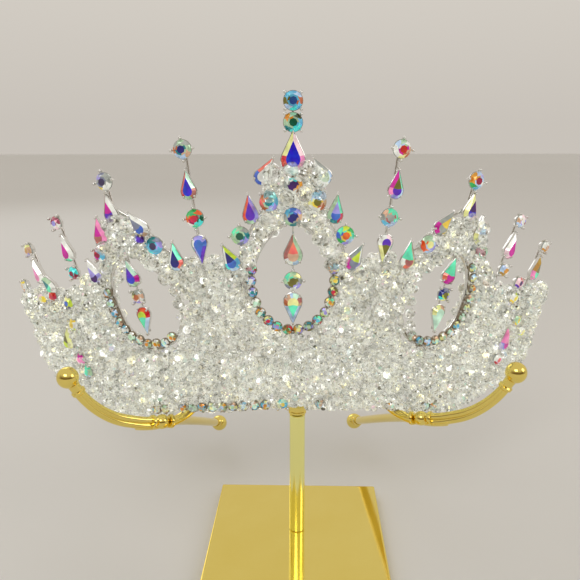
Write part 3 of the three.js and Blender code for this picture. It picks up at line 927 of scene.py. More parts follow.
@dataclass(frozen=True)
class Cut:
    """A stone cut: girdle size, the depth in front of the girdle and behind it, and shares of the girdle.

    A pear's tip grows faster than its sides by tip_growth, and its round end runs over the angles of arc.
    A round stone's plain_sectors show the table's colour.
    """

    width: float
    length: float
    front: float
    back: float = 1.3
    pear: bool = True
    back_share: float = 0.62
    centre_share: float = 0.62
    heart_ring: float = 0.43
    table_ring: float = 0.63
    kite_ring: float = 0.8
    kite_depth: float = 0.5
    table_width: float = 0.6
    table_length: float = 0.64
    girdle: float = 0.12
    tip_growth: float = 1.6
    arc: tuple[float, float] = (25.0, -205.0)
    plain_sectors: tuple[int, ...] = (1, 4, 5)

    @property
    def centre(self) -> float:
        """Height of the middle of the table in the stone's own plane."""
        return -self.length / 2 + self.width * self.centre_share if self.pear else 0.0

    def outline(self, grow: float = 0.0) -> list[tuple[float, float]]:
        """Points of a pear's girdle, clockwise from its tip as the stone is seen from the front.

        Args:
            grow: Distance to push it outward.

        Returns:
            Rows of across and up.
        """
        radius = self.width / 2 + grow
        middle = -self.length / 2 + self.width / 2
        tip = (0.0, self.length / 2 + grow * self.tip_growth)
        angles = np.radians(np.linspace(*self.arc, 11))
        arc = [(radius * math.cos(a), middle + radius * math.sin(a)) for a in angles]
        right = [tuple(np.array(tip) + (np.array(arc[0]) - tip) * share) for share in (1 / 3, 2 / 3)]
        left = [(-x, y) for x, y in reversed(right)]
        return [tip, *right, *arc, *left]

    def facets(self, hues: tuple[Hue, ...]) -> Skin:
        """The stone's facets about its own middle, tip up and table to the front.

        Args:
            hues: For a round stone the heart, the table and then the ring clockwise from the top. For a
                pear the left strip, the right strip, the upper table, the lower table and the rim.

        Returns:
            The coloured skin.
        """
        return self.pear_facets(hues) if self.pear else self.round_facets(hues)

    def ring(self, share: float, z: float, sides: int, turn: float = 0.0) -> list[tuple[float, float, float]]:
        """Points round a circle about a round stone's axis, clockwise from the top.

        Args:
            share: Its radius, as a share of the girdle's.
            z: Its height in front of the girdle.
            sides: Number of points.
            turn: Steps by which the first point is turned from the top.

        Returns:
            Rows of x, y and z.
        """
        radius = share * self.width / 2
        angles = [math.pi / 2 - 2 * math.pi * (i + turn) / sides for i in range(sides)]
        return [(radius * math.cos(a), radius * math.sin(a), z) for a in angles]

    def round_facets(self, hues: tuple[Hue, ...]) -> Skin:
        """Facets of a round stone: heart, table, stars, kites, girdle facets and a short back.

        Args:
            hues: Colours of the heart, the table and then the ring clockwise from the top.

        Returns:
            The coloured skin.
        """
        heart, table, *ring = hues
        sector = [ring[i * len(ring) // 8] for i in range(8)]
        points = self.ring(self.heart_ring, self.front, 8) + self.ring(self.table_ring, self.front, 8)
        points += self.ring(self.kite_ring, self.front * self.kite_depth, 8, 0.5)
        points += self.ring(1.0, self.girdle, 16) + self.ring(1.0, -self.girdle, 16)
        points += self.ring(self.back_share, -self.back, 16)
        core, edge, mid, top, low, base = 0, 8, 16, 24, 40, 56
        polygons, tones = [tuple(core + i for i in reversed(range(8)))], [heart]
        for i in range(8):
            j = (i + 1) % 8
            polygons += [
                (core + i, core + j, edge + j, edge + i),
                (edge + i, edge + j, mid + i),
                (edge + j, mid + j, top + 2 * j, mid + i),
                (mid + i, top + 2 * j, top + 2 * i + 1),
                (mid + i, top + 2 * i + 1, top + 2 * i),
            ]
            first = table if i in self.plain_sectors else sector[i]
            tones += [first, sector[j], sector[j], sector[j], sector[i]]
        for i in range(16):
            j = (i + 1) % 16
            polygons += [(top + i, top + j, low + j, low + i), (low + i, low + j, base + j, base + i)]
            tones += [Hue.SMOKE, Hue.SMOKE]
        polygons.append(tuple(base + i for i in range(16)))
        tones.append(Hue.SMOKE)
        return Skin.of_polygons(points, [polygon[::-1] for polygon in polygons], tones)

    def pear_facets(self, hues: tuple[Hue, ...]) -> Skin:
        """Facets of a pear: two long strips from the tip, a table split at its waist, and a rim.

        Args:
            hues: Colours of the left strip, the right strip, the upper table, the lower table and the rim.

        Returns:
            The coloured skin.
        """
        left, right, upper, lower, *rim = hues
        outline = self.outline()
        count = len(outline)
        middle, share = self.centre, self.back_share
        points = [(x, y, self.girdle) for x, y in outline]
        points += [(x * self.table_width, middle + (y - middle) * self.table_length, self.front)
                   for x, y in outline]
        points += [(x, y, -self.girdle) for x, y in outline]
        points += [(x * share, middle + (y - middle) * share, -self.back) for x, y in outline]
        points.append((0.0, middle, self.front))
        table, low, base, heart = count, 2 * count, 3 * count, 4 * count
        shoulder, foot = 3, count - 3
        polygons = [(*range(0, shoulder + 1), *reversed(range(table, table + shoulder + 1)))]
        polygons.append((
            foot, foot + 1, foot + 2, 0, table, table + foot + 2, table + foot + 1, table + foot))
        polygons.append((table, *range(table + 1, table + shoulder + 1), heart))
        polygons.append((heart, table + foot, table + foot + 1, table + foot + 2, table))
        tones = [right, left, upper, upper]
        for i in range(shoulder, foot):
            side = rim[(i - shoulder) * len(rim) // (foot - shoulder)]
            polygons += [(i, i + 1, table + i + 1, table + i), (heart, table + i, table + i + 1)]
            tones += [side, lower]
        for i in range(count):
            j = (i + 1) % count
            polygons += [(i, low + i, low + j, j), (low + i, base + i, base + j, low + j)]
            tones += [Hue.SMOKE, Hue.SMOKE]
        polygons.append(tuple(base + i for i in range(count)))
        tones.append(Hue.SMOKE)
        return Skin.of_polygons(points, [polygon[::-1] for polygon in polygons], tones)


class CutName(Enum):
    """The cuts that the crown uses."""

    CHATON = Cut(5.8, 5.8, 1.4, pear=False)
    SMALL = Cut(4.6, 4.6, 1.1, back=1.1, pear=False)
    DROP = Cut(5.8, 9.9, 1.4)
    SLIM = Cut(4.9, 9.1, 1.3)
    LARGE = Cut(7.3, 12.4, 1.6)
    MINI = Cut(3.4, 3.4, 0.9, back=0.9, pear=False)
    TINY = Cut(3.05, 3.05, 0.75, back=0.75, pear=False)


@dataclass(frozen=True)
class Setting:
    """The metal that holds a stone: a cup with four prongs for a round one, a rim with claws for a pear.

    A rim's steps are how far past the girdle and how high in front of it. The cup's foot has shares of
    the girdle's radius and depths below the stone's back. Sizes are the radius of a wire and of the ball
    on its tip. A claw's end keeps claw_pulls of its place: across, and upward at the tip and at the foot.
    """

    cup_foot: tuple = ((0.5, 0.75), (0.68, 0.7), (0.55, 0.35))
    cup_rim: tuple = ((0.12, -0.45), (0.12, -0.22), (-0.08, -0.22), (-0.1, -0.4))
    prong_foot: float = 0.8
    prong: tuple = ((0.6, -0.3), (0.85, 0.3), (0.55, 0.7))
    prong_size: tuple[float, float] = (0.33, 0.55)
    pear_foot: tuple[float, float] = (-0.3, 0.2)
    pear_rim: tuple = ((0.26, -0.6), (0.3, 0.05), (0.12, 0.16), (0.04, 0.05), (0.04, -0.7))
    claw_out: float = 0.3
    claw_heights: tuple[float, float, float] = (-0.8, 0.2, 0.75)
    claw_pulls: tuple[float, float, float] = (0.86, 0.9, 0.88)
    claw_size: tuple[float, float] = (0.26, 0.38)
    claw_corner: int = 6

    def prong_on(self, path: list, steps: int, size: tuple[float, float]) -> list[Skin]:
        """A bent wire with a ball on its tip.

        Args:
            path: Points from its foot to its tip.
            steps: Steps of the curve between two points.
            size: Radius of the wire and of the ball.

        Returns:
            The skins of both.
        """
        wire, ball = size
        bar = tube(smooth_path(np.array(path), steps), wire, sides=8)
        return [bar, turned(ball_profile(ball, steps=7), sides=10).moved(np.eye(3), np.array(path[-1]))]

    def cup(self, cut: Cut, turn: float) -> list[Skin]:
        """A tapered cup with four prongs, about the stone's own middle.

        Args:
            cut: The round stone's cut.
            turn: Angle of the first prong in degrees.

        Returns:
            The skins of the cup and the prongs.
        """
        radius = cut.width / 2
        *foot, floor = [(radius * share, -cut.back - depth) for share, depth in self.cup_foot]
        rim = [(radius + past, z) for past, z in self.cup_rim]
        parts = [turned([*foot, *rim, floor], sides=24)]
        for i in range(4):
            angle = math.radians(turn + 90 * i)
            across = np.array([math.cos(angle), math.sin(angle), 0.0])
            path = [across * (radius * self.prong_foot) + [0, 0, -cut.back]]
            path += [across * (radius + past) + [0, 0, z] for past, z in self.prong]
            parts += self.prong_on(path, 4, self.prong_size)
        return parts

    def bezel(self, cut: Cut) -> list[Skin]:
        """A thin rim round a pear with small claws at its tip and foot, about the stone's own middle.

        Args:
            cut: The pear's cut.

        Returns:
            The skins of the rim and the claws.
        """
        past, depth = self.pear_foot
        steps = [(past, -cut.back - depth), *self.pear_rim]
        rows = np.array([[(x, y, z) for x, y in cut.outline(grow)] for grow, z in steps])
        parts = [joined_rings(rows[:, ::-1], caps=False)]
        outline = cut.outline(self.claw_out)
        across, tip, foot = self.claw_pulls
        low, middle, high = self.claw_heights
        for i, up in ((0, tip), (self.claw_corner, foot), (len(outline) - self.claw_corner, foot)):
            x, y = outline[i]
            path = [(x, y, low), (x, y, middle), (x * across, y * up, high)]
            parts += self.prong_on(path, 3, self.claw_size)
        return parts


SETTING = Setting()


@dataclass(frozen=True)
class Stone:
    """One stone in its setting: place on the wall, cut, lean of its tip in degrees, and colours."""

    turn: float
    height: float
    cut: CutName
    lean: float
    hues: tuple[Hue, ...]
    prong_turn: float = 45.0
    out: float = 0.0

    def basis(self) -> Array:
        """The stone's axes.

        Returns:
            A 3 by 3 array whose columns run across it, towards its tip and out of the wall.
        """
        lean = math.radians(self.lean)
        cos, sin = math.cos(lean), math.sin(lean)
        spin = np.array([[cos, sin, 0], [-sin, cos, 0], [0, 0, 1]])
        return WALL.bases(self.turn, self.height, self.out) @ spin

    def origin(self) -> Array:
        """The middle of the stone's girdle plane."""
        return WALL.points(self.turn, self.height, self.out)

    def skin(self) -> Skin:
        """The stone's facets in place."""
        return self.cut.value.facets(self.hues).moved(self.basis(), self.origin())

    def setting(self) -> list[Skin]:
        """The metal that holds the stone, in place.

        Returns:
            The skins of the cup and its prongs, or of a pear's rim and its claws.
        """
        cut = self.cut.value
        parts = SETTING.bezel(cut) if cut.pear else SETTING.cup(cut, self.prong_turn)
        return [part.moved(self.basis(), self.origin()) for part in parts]


H = Hue
CHATON, SMALL, MINI = CutName.CHATON, CutName.SMALL, CutName.MINI
DROP, SLIM, LARGE = CutName.DROP, CutName.SLIM, CutName.LARGE

# Facet colours are partly the coating's own and partly painted glints and reflections on single facets
MIDDLE_STONES: dict[str, Stone] = {
    "top_chaton": Stone(0, 93.9, CHATON, 0, (
        H.DENIM, H.SKY, H.SKY, H.ICE, H.COPPER, H.SKY, H.CYAN, H.ICE, H.OLIVE, H.SKY)),
    "second_chaton": Stone(0, 87.9, CHATON, 0, (
        H.EMERALD, H.SAGE, H.SAGE, H.MOSS, H.SKY, H.CYAN, H.CYAN, H.TEAL, H.SAGE, H.AMBER)),
    "top_pear": Stone(0, 79.6, LARGE, 0, (H.STRAW, H.BLUSH, H.ROYAL, H.ROYAL, H.PINK, H.PEARL, H.RED)),
    "dome_chaton": Stone(0, 70.2, CHATON, 0, (
        H.PURPLE, H.PURPLE, H.CYAN, H.PEARL, H.AMBER, H.TAN, H.PEARL, H.PEARL, H.SMOKE, H.PEARL)),
    "keystone_chaton": Stone(0, 60.7, CHATON, 0, (
        H.NAVY, H.NAVY, H.BLUE, H.LAVENDER, H.TAN, H.SMOKE, H.TEAL, H.SAGE, H.SMOKE, H.SKY)),
    "pendant_upper_pear": Stone(0, 51.0, DROP, 0, (
        H.ROSEWOOD, H.SAGE, H.CORAL, H.TAN, H.SAGE, H.ICE, H.PEARL, H.ROSEWOOD)),
    "pendant_chaton": Stone(0, 41.4, CHATON, 0, (
        H.OLIVE, H.OLIVE, H.SAGE, H.STRAW, H.SMOKE, H.LAVENDER, H.PEARL, H.SLATE, H.SAGE, H.MINT), 0.0),
    "pendant_lower_pear": Stone(0, 32.9, DROP, 180, (
        H.ICE, H.ICE, H.MINT, H.STRAW, H.COPPER, H.TAN, H.ICE, H.FOAM, H.ROSEWOOD, H.TAN)),
}

# Stones that stand on both sides: place, cut and lean, then the colours on the left and on the right,
# and for some the prongs' turn
PAIRED_STONES: dict[str, tuple] = {
    "shoulder_pear": (
        3.9, 74.2, SLIM, -32,
        (H.CORAL, H.PEARL, H.PEARL, H.PEARL, H.PEARL, H.BLUE, H.BLUE),
        (H.PEARL, H.SMOKE, H.PEARL, H.SAGE, H.ICE, H.PEARL)),
    "neck_chaton": (
        3.6, 65.2, CHATON, 0,
        (H.TEAL, H.SAGE, H.TEAL, H.CYAN, H.SKY, H.LAVENDER, H.ICE, H.COPPER, H.CORAL, H.COPPER),
        (H.OLIVE, H.YELLOW, H.SKY, H.ICE, H.TAN, H.COPPER, H.PEARL, H.PEARL, H.STRAW, H.ICE)),
    "flame_pear": (
        6.5, 63.2, SLIM, 4,
        (H.ORANGE, H.LAVENDER, H.VIOLET, H.VIOLET, H.LAVENDER, H.SAGE, H.ORANGE),
        (H.SAGE, H.MINT, H.LAVENDER, H.BLUE, H.RED, H.TEAL, H.SAGE)),
    "flank_chaton": (
        8.3, 55.3, CHATON, 0,
        (H.EMERALD, H.SAGE, H.SAGE, H.SMOKE, H.TEAL, H.LAVENDER, H.SLATE, H.SAGE, H.SAGE, H.MINT),
        (H.ORANGE, H.YELLOW, H.LIME, H.GREEN, H.MINT, H.ICE, H.LAVENDER, H.GREEN, H.BLUE, H.MINT), 0.0),
    "flank_pear": (
        10.4, 48.8, SLIM, 24,
        (H.PEARL, H.LIME, H.NAVY, H.BLUE, H.SKY, H.ICE, H.CYAN),
        (H.SMOKE, H.PEARL, H.LIME, H.SLATE, H.LAVENDER, H.SLATE, H.MAGENTA, H.MAGENTA)),
    "spike_chaton": (
        15.5, 81.2, CHATON, 0,
        (H.NAVY, H.TEAL, H.SAGE, H.SMOKE, H.SAGE, H.TAN, H.ICE, H.ICE, H.COPPER, H.SMOKE),
        (H.RED, H.MAGENTA, H.SAGE, H.PEARL, H.TAN, H.COPPER, H.STRAW, H.PEARL, H.PEARL, H.ICE), 0.0),
    "spike_pear": (
        15.5, 70.9, SLIM, 0,
        (H.RED, H.FOAM, H.ROYAL, H.ROYAL, H.ROSEWOOD, H.SAGE, H.RED),
        (H.MAGENTA, H.MINT, H.OLIVE, H.VIOLET, H.ICE, H.LAVENDER, H.PINK)),
    "spike_low_chaton": (
        15.2, 60.9, CHATON, 0,
        (H.RED, H.CRIMSON, H.GREEN, H.ORANGE, H.EMERALD, H.CYAN, H.MINT, H.PEARL, H.ORANGE, H.GREEN),
        (H.SMOKE, H.ROSEWOOD, H.MINT, H.MINT, H.MINT, H.ICE, H.ICE, H.SKY, H.SMOKE, H.TAN), 0.0),
    "spike_low_pear": (
        15.1, 51.4, SLIM, 180,
        (H.VIOLET, H.LAVENDER, H.BLUE, H.BLUE, H.PEARL, H.LAVENDER, H.LAVENDER, H.BLUE),
        (H.PEARL, H.STRAW, H.OLIVE, H.VIOLET, H.PEARL, H.BLUSH)),
    "arch_chaton": (
        29.2, 73.6, CHATON, 0,
        (H.DUSK, H.SLATE, H.SLATE, H.SMOKE, H.SMOKE, H.PEARL, H.PEARL, H.YELLOW, H.SMOKE, H.LAVENDER),
        (H.CRIMSON, H.ICE, H.ICE, H.LAVENDER, H.PEARL, H.ICE, H.SKY, H.GREEN, H.AMBER, H.AMBER), 0.0),
    "arch_pear": (
        29.6, 65.4, SLIM, 0,
        (H.CORAL, H.PEARL, H.MAGENTA, H.VIOLET, H.PEARL, H.PURPLE, H.VIOLET),
        (H.STRAW, H.PINK, H.PURPLE, H.INDIGO, H.BLUSH, H.PEARL, H.STRAW)),
    "arch_inner_pear": (
        25.2, 60.0, SLIM, 30,
        (H.LAVENDER, H.PEARL, H.SLATE, H.BLUE, H.PEARL, H.TAN, H.STRAW),
        (H.SMOKE, H.PEARL, H.YELLOW, H.SMOKE, H.YELLOW, H.SMOKE, H.MAGENTA, H.MAGENTA)),
    "arch_inner_chaton": (
        23.0, 53.2, CHATON, 0,
        (H.DUSK, H.SKY, H.TEAL, H.SLATE, H.LAVENDER, H.SKY, H.SKY, H.CYAN, H.SKY, H.TEAL),
        (H.STRAW, H.ICE, H.SAGE, H.PEARL, H.LAVENDER, H.LAVENDER, H.ICE, H.ORANGE, H.ORANGE, H.SAGE), 0.0),
    "arch_low_pear": (
        19.7, 49.6, SLIM, 0,
        (H.PEARL, H.MINT, H.NAVY, H.NAVY, H.CORAL, H.ICE, H.PEARL),
        (H.MINT, H.TAN, H.MINT, H.ROSEWOOD, H.STRAW, H.CORAL, H.PEARL)),
    "arch_outer_pear": (
        33.0, 58.6, SLIM, -6,
        (H.CORAL, H.PINK, H.MAGENTA, H.ROSEWOOD, H.PINK, H.CORAL),
        (H.PEARL, H.BLUSH, H.ICE, H.PEARL, H.PEARL, H.STRAW)),
    "arch_outer_chaton": (
        34.6, 51.4, SMALL, 0,
        (H.CRIMSON, H.MAGENTA, H.SKY, H.SKY, H.PEARL, H.CRIMSON, H.RED),
        (H.MAUVE, H.MINT, H.SAGE, H.MINT, H.SAGE, H.PEARL, H.CRIMSON, H.MAUVE)),
}

# Stones on one thread or stem, in the same order and with the same columns
THREADED_STONES: dict[str, list[tuple]] = {
    "side_pendant": [
        (29.0, 45.0, SLIM, 8, (H.LAVENDER, H.FOAM, H.VIOLET, H.INDIGO, H.MAGENTA, H.SAGE, H.FOAM, H.INDIGO),
         (H.MINT, H.SMOKE, H.MINT, H.MAGENTA, H.MAUVE, H.MAGENTA, H.CORAL)),
        (28.9, 37.4, SMALL, 0, (H.COPPER, H.TAN, H.SMOKE, H.TAN, H.PEARL, H.LAVENDER, H.STRAW, H.OLIVE),
         (H.OLIVE, H.LIME, H.SLATE, H.LAVENDER, H.OLIVE, H.STRAW, H.CYAN, H.NAVY, H.NAVY)),
        (28.8, 29.6, SLIM, 176, (H.ICE, H.LIME, H.MINT, H.LIME, H.RED, H.ORANGE, H.RED),
         (H.STRAW, H.FOAM, H.FOAM, H.FOAM, H.STRAW, H.STRAW, H.TAN, H.FOAM)),
    ],
    "third_spike_stones": [
        (42.5, 62.8, SMALL, 0, (H.LAVENDER, H.PEARL, H.MAUVE, H.MAUVE, H.PEARL, H.BLUSH, H.MAUVE, H.CRIMSON),
         (H.PEARL, H.LAVENDER, H.BLUSH, H.MAUVE, H.PEARL, H.ICE, H.TAN, H.PEARL)),
        (42.3, 54.4, SLIM, 0, (H.PINK, H.PEARL, H.MAGENTA, H.MAGENTA, H.PEARL, H.MINT, H.CORAL),
         (H.PEARL, H.PINK, H.MAGENTA, H.MAGENTA, H.PINK, H.BLUSH)),
        (42.9, 46.2, SMALL, 0, (H.CRIMSON, H.CYAN, H.CYAN, H.CYAN, H.CRIMSON, H.MAUVE, H.PEARL, H.CYAN),
         (H.AMBER, H.GOLD, H.PEARL, H.PEARL, H.GOLD, H.ICE)),
    ],
    "end_spike_stones": [
        (55.5, 55.8, SMALL, 0, (H.GOLD, H.TAN, H.STRAW, H.TAN, H.LAVENDER, H.PEARL),
         (H.TAN, H.COPPER, H.PEARL, H.TAN, H.AMBER, H.PEARL)),
        (55.3, 48.0, SLIM, 0, (H.CORAL, H.PEARL, H.PINK, H.PINK, H.PEARL, H.PEARL),
         (H.GOLD, H.PEARL, H.OLIVE, H.MINT, H.ICE, H.PINK)),
    ],
}

# Stones half sunk among the beads, at their own distance out of the wall
SUNKEN_STONES: list[Stone] = [
    Stone(-37.6, 46.0, SLIM, -14, (H.MAGENTA, H.PEARL, H.LAVENDER, H.PURPLE, H.LAVENDER, H.PEARL), out=-0.3),
    Stone(-25.4, 55.5, MINI, 0, (H.VIOLET, H.VIOLET, H.PURPLE, H.VIOLET, H.INDIGO), out=0.2),
    Stone(50.4, 42.4, SMALL, 0, (H.PURPLE, H.PINK, H.CORAL, H.BLUSH, H.VIOLET, H.BLUSH), out=-0.3),
    Stone(-50.6, 28.8, SMALL, 0, (H.YELLOW, H.STRAW, H.YELLOW, H.PEARL, H.LIME, H.STRAW), out=-0.8),
    Stone(-55.4, 24.0, SLIM, 30, (H.LIME, H.STRAW, H.OLIVE, H.LIME, H.STRAW, H.SAGE), out=-1.0),
    Stone(-53.5, 16.3, SMALL, 0, (H.PINK, H.BLUSH, H.MAGENTA, H.PINK, H.PEARL, H.BLUSH), out=-0.8),
    Stone(-52.6, 11.8, SMALL, 0, (H.MINT, H.CYAN, H.MINT, H.SAGE, H.ICE, H.PEARL), out=-0.8),
    Stone(55.0, 22.1, SLIM, -12, (H.PINK, H.MAGENTA, H.PINK, H.MAGENTA, H.BLUSH, H.LAVENDER), out=-0.8),
    Stone(57.1, 29.1, SMALL, 0, (H.YELLOW, H.MINT, H.STRAW, H.PEARL, H.YELLOW, H.SAGE), out=-0.8),
    Stone(62.3, 25.0, SMALL, 0, (H.STRAW, H.YELLOW, H.PEARL, H.STRAW, H.LIME, H.PEARL), out=-0.8),
    Stone(55.1, 14.6, SMALL, 0, (H.CORAL, H.PINK, H.PEARL, H.BLUSH, H.RED, H.PEARL), out=-0.8),
    Stone(-68.3, 44.2, SMALL, 0, (H.AMBER, H.STRAW, H.YELLOW, H.PEARL, H.AMBER, H.STRAW), out=-0.4),
    Stone(-53.4, 43.6, SLIM, -28, (H.MINT, H.SAGE, H.TEAL, H.MINT, H.PEARL, H.SAGE), out=-0.4),
    Stone(-53.4, 39.4, SMALL, 0, (H.RED, H.ORANGE, H.CORAL, H.RED, H.COPPER, H.PEARL), out=-0.2),
    Stone(-58.6, 38.6, SMALL, 0, (H.STRAW, H.PEARL, H.BLUSH, H.YELLOW, H.PEARL, H.BLUSH), out=-0.2),
    Stone(-48.6, 36.4, SMALL, 0, (H.BLUE, H.OLIVE, H.STRAW, H.LIME, H.NAVY, H.PEARL), out=-0.2),
    Stone(50.6, 37.0, SMALL, 0, (H.YELLOW, H.STRAW, H.LIME, H.PEARL, H.YELLOW, H.PEARL), out=-0.2),
    Stone(-2.2, 1.8, MINI, 0, (H.YELLOW, H.SKY, H.FOAM, H.SKY, H.BLUE, H.STRAW, H.CYAN), out=0.4),
]

# Large beads in front of the wall, on the dome, round the arches and on the flanks: place and radius
BIG_BEADS: list[tuple[float, float, float]] = [
    (-3.0, 73.3, 3.4), (-0.3, 74.3, 2.9), (1.8, 74.6, 2.9), (3.9, 71.9, 3.3), (-1.0, 65.9, 3.0),
    (1.7, 67.3, 2.7), (-3.8, 59.7, 3.1), (-5.1, 55.5, 3.0), (-7.7, 50.3, 2.2), (-6.3, 51.6, 2.6),
    (3.6, 59.2, 3.1), (4.2, 54.3, 2.8), (5.6, 50.6, 2.8), (6.4, 46.4, 2.7), (-7.2, 46.8, 2.6),
    (11.4, 43.4, 3.1), (15.4, 44.7, 3.1), (15.8, 40.7, 3.3), (-12.6, 45.2, 2.9), (-17.6, 45.4, 2.8),
    (-29.0, 60.6, 3.3), (-28.2, 55.3, 2.7), (-32.8, 53.3, 2.9), (-27.1, 51.6, 2.5), (-31.7, 49.6, 2.5),
    (-24.1, 47.8, 2.9), (-22.4, 42.6, 2.4), (-33.8, 46.6, 2.2), (-35.6, 42.6, 2.2), (-25.4, 50.6, 2.1),
    (29.9, 60.9, 3.2), (33.1, 59.1, 2.8), (33.5, 55.2, 2.8), (28.4, 56.3, 2.9), (26.0, 54.0, 2.7),
    (28.8, 52.2, 2.4), (25.2, 48.6, 2.8), (23.2, 46.2, 2.8), (21.2, 43.0, 2.4), (20.7, 39.4, 2.4),
    (34.3, 51.9, 2.3), (34.6, 48.6, 2.4), (37.3, 45.6, 2.5), (38.9, 42.0, 2.2), (16.3, 48.6, 2.2),
    (-30.5, 46.6, 2.1), (-31.8, 43.2, 1.9), (-28.1, 52.3, 2.3), (3.4, 73.5, 2.6), (5.1, 55.8, 2.2),
    (20.6, 35.6, 2.1), (-20.8, 38.8, 2.2), (-20.7, 34.6, 2.1), (-3.4, 66.8, 2.4), (3.9, 67.2, 2.4),
    (22.0, 43.0, 1.9), (21.6, 39.1, 2.0), (21.7, 35.1, 2.0), (22.2, 31.0, 2.0), (22.9, 27.1, 2.0),
    (23.7, 23.9, 1.7),
]
SIDES = (("left", -1), ("right", 1))


@dataclass(frozen=True)
class ChainReach:
    """The stretch of an opening's cup chain that the beads leave in sight."""

    top: float
    from_turn: float = -90.0
    to_turn: float = 90.0
    always_below: float = 29.0

    def shows(self, turns: Array, heights: Array) -> Array:
        """Whether the chain is in sight.

        Args:
            turns: Turns of places on the wall.
            heights: Their heights.

        Returns:
            True or False for each place.
        """
        turns, heights = np.asarray(turns), np.asarray(heights)
        beside = (turns > self.from_turn) & (turns < self.to_turn) & (heights < self.top)
        return beside | (heights < self.always_below)


CHAIN_REACH: dict[str, ChainReach] = {
    "centre": ChainReach(45.5),
    "right": ChainReach(47.0, from_turn=30.5, always_below=25.5),
    "left": ChainReach(39.5, to_turn=-30.5, always_below=25.5),
}


# Shares of the lower edge's cup chain that beads hide, from turn to turn
EDGE_COVER: list[tuple[float, float, float]] = [
    (-50, -37, 1.0), (-37, -2.6, 0.4), (-1.4, 0.5, 0.6), (0.5, 14, 1.0), (14, 38, 0.65), (38, 50, 1.0),
]


def edge_cover(turns: Array | float) -> Array | float:
    """Share of the edge's cup chain that beads hide at a turn, or at each of several."""
    return sum(cover * ((turns >= low) & (turns < high)) for low, high, cover in EDGE_COVER)


def side_stone(row: tuple, sign: int) -> Stone:
    """A stone of a paired row on one side of the crown."""
    turn, height, cut, lean, left, right, *prongs = row
    return Stone(turn * sign, height, cut, lean * sign, left if sign < 0 else right, *prongs)


@dataclass
class StoneWork:
    """Every stone of the crown, grouped by the node that it replaces."""

    groups: dict[str, list[Stone]] = field(init=False)

    def __post_init__(self) -> None:
        """Lays out the groups from the tables."""
        self.groups = {name: [stone] for name, stone in MIDDLE_STONES.items()}
        for side, sign in SIDES:
            for name, row in PAIRED_STONES.items():
                self.groups[f"{name}_{side}"] = [side_stone(row, sign)]
            for name, rows in THREADED_STONES.items():
                self.groups[f"{name}_{side}"] = [side_stone(row, sign) for row in rows]

    def set_stones(self) -> list[Stone]:
        """Every stone in front of the beads."""
        return [stone for stones in self.groups.values() for stone in stones]

    def build(self) -> None:
        """Makes one piece for each group, and one of the sunken stones."""
        finish = StoneFinish().build()
        for name, stones in self.groups.items():
            sheaf = Sheaf([stone.skin() for stone in stones])
            finish_piece(sheaf.build(f"cut_{name}", finish), Slot.STONES, name)
        sunken = Sheaf([stone.skin() for stone in SUNKEN_STONES])
        finish_piece(sunken.build("cut_sunken_stones", finish), Slot.STONES)


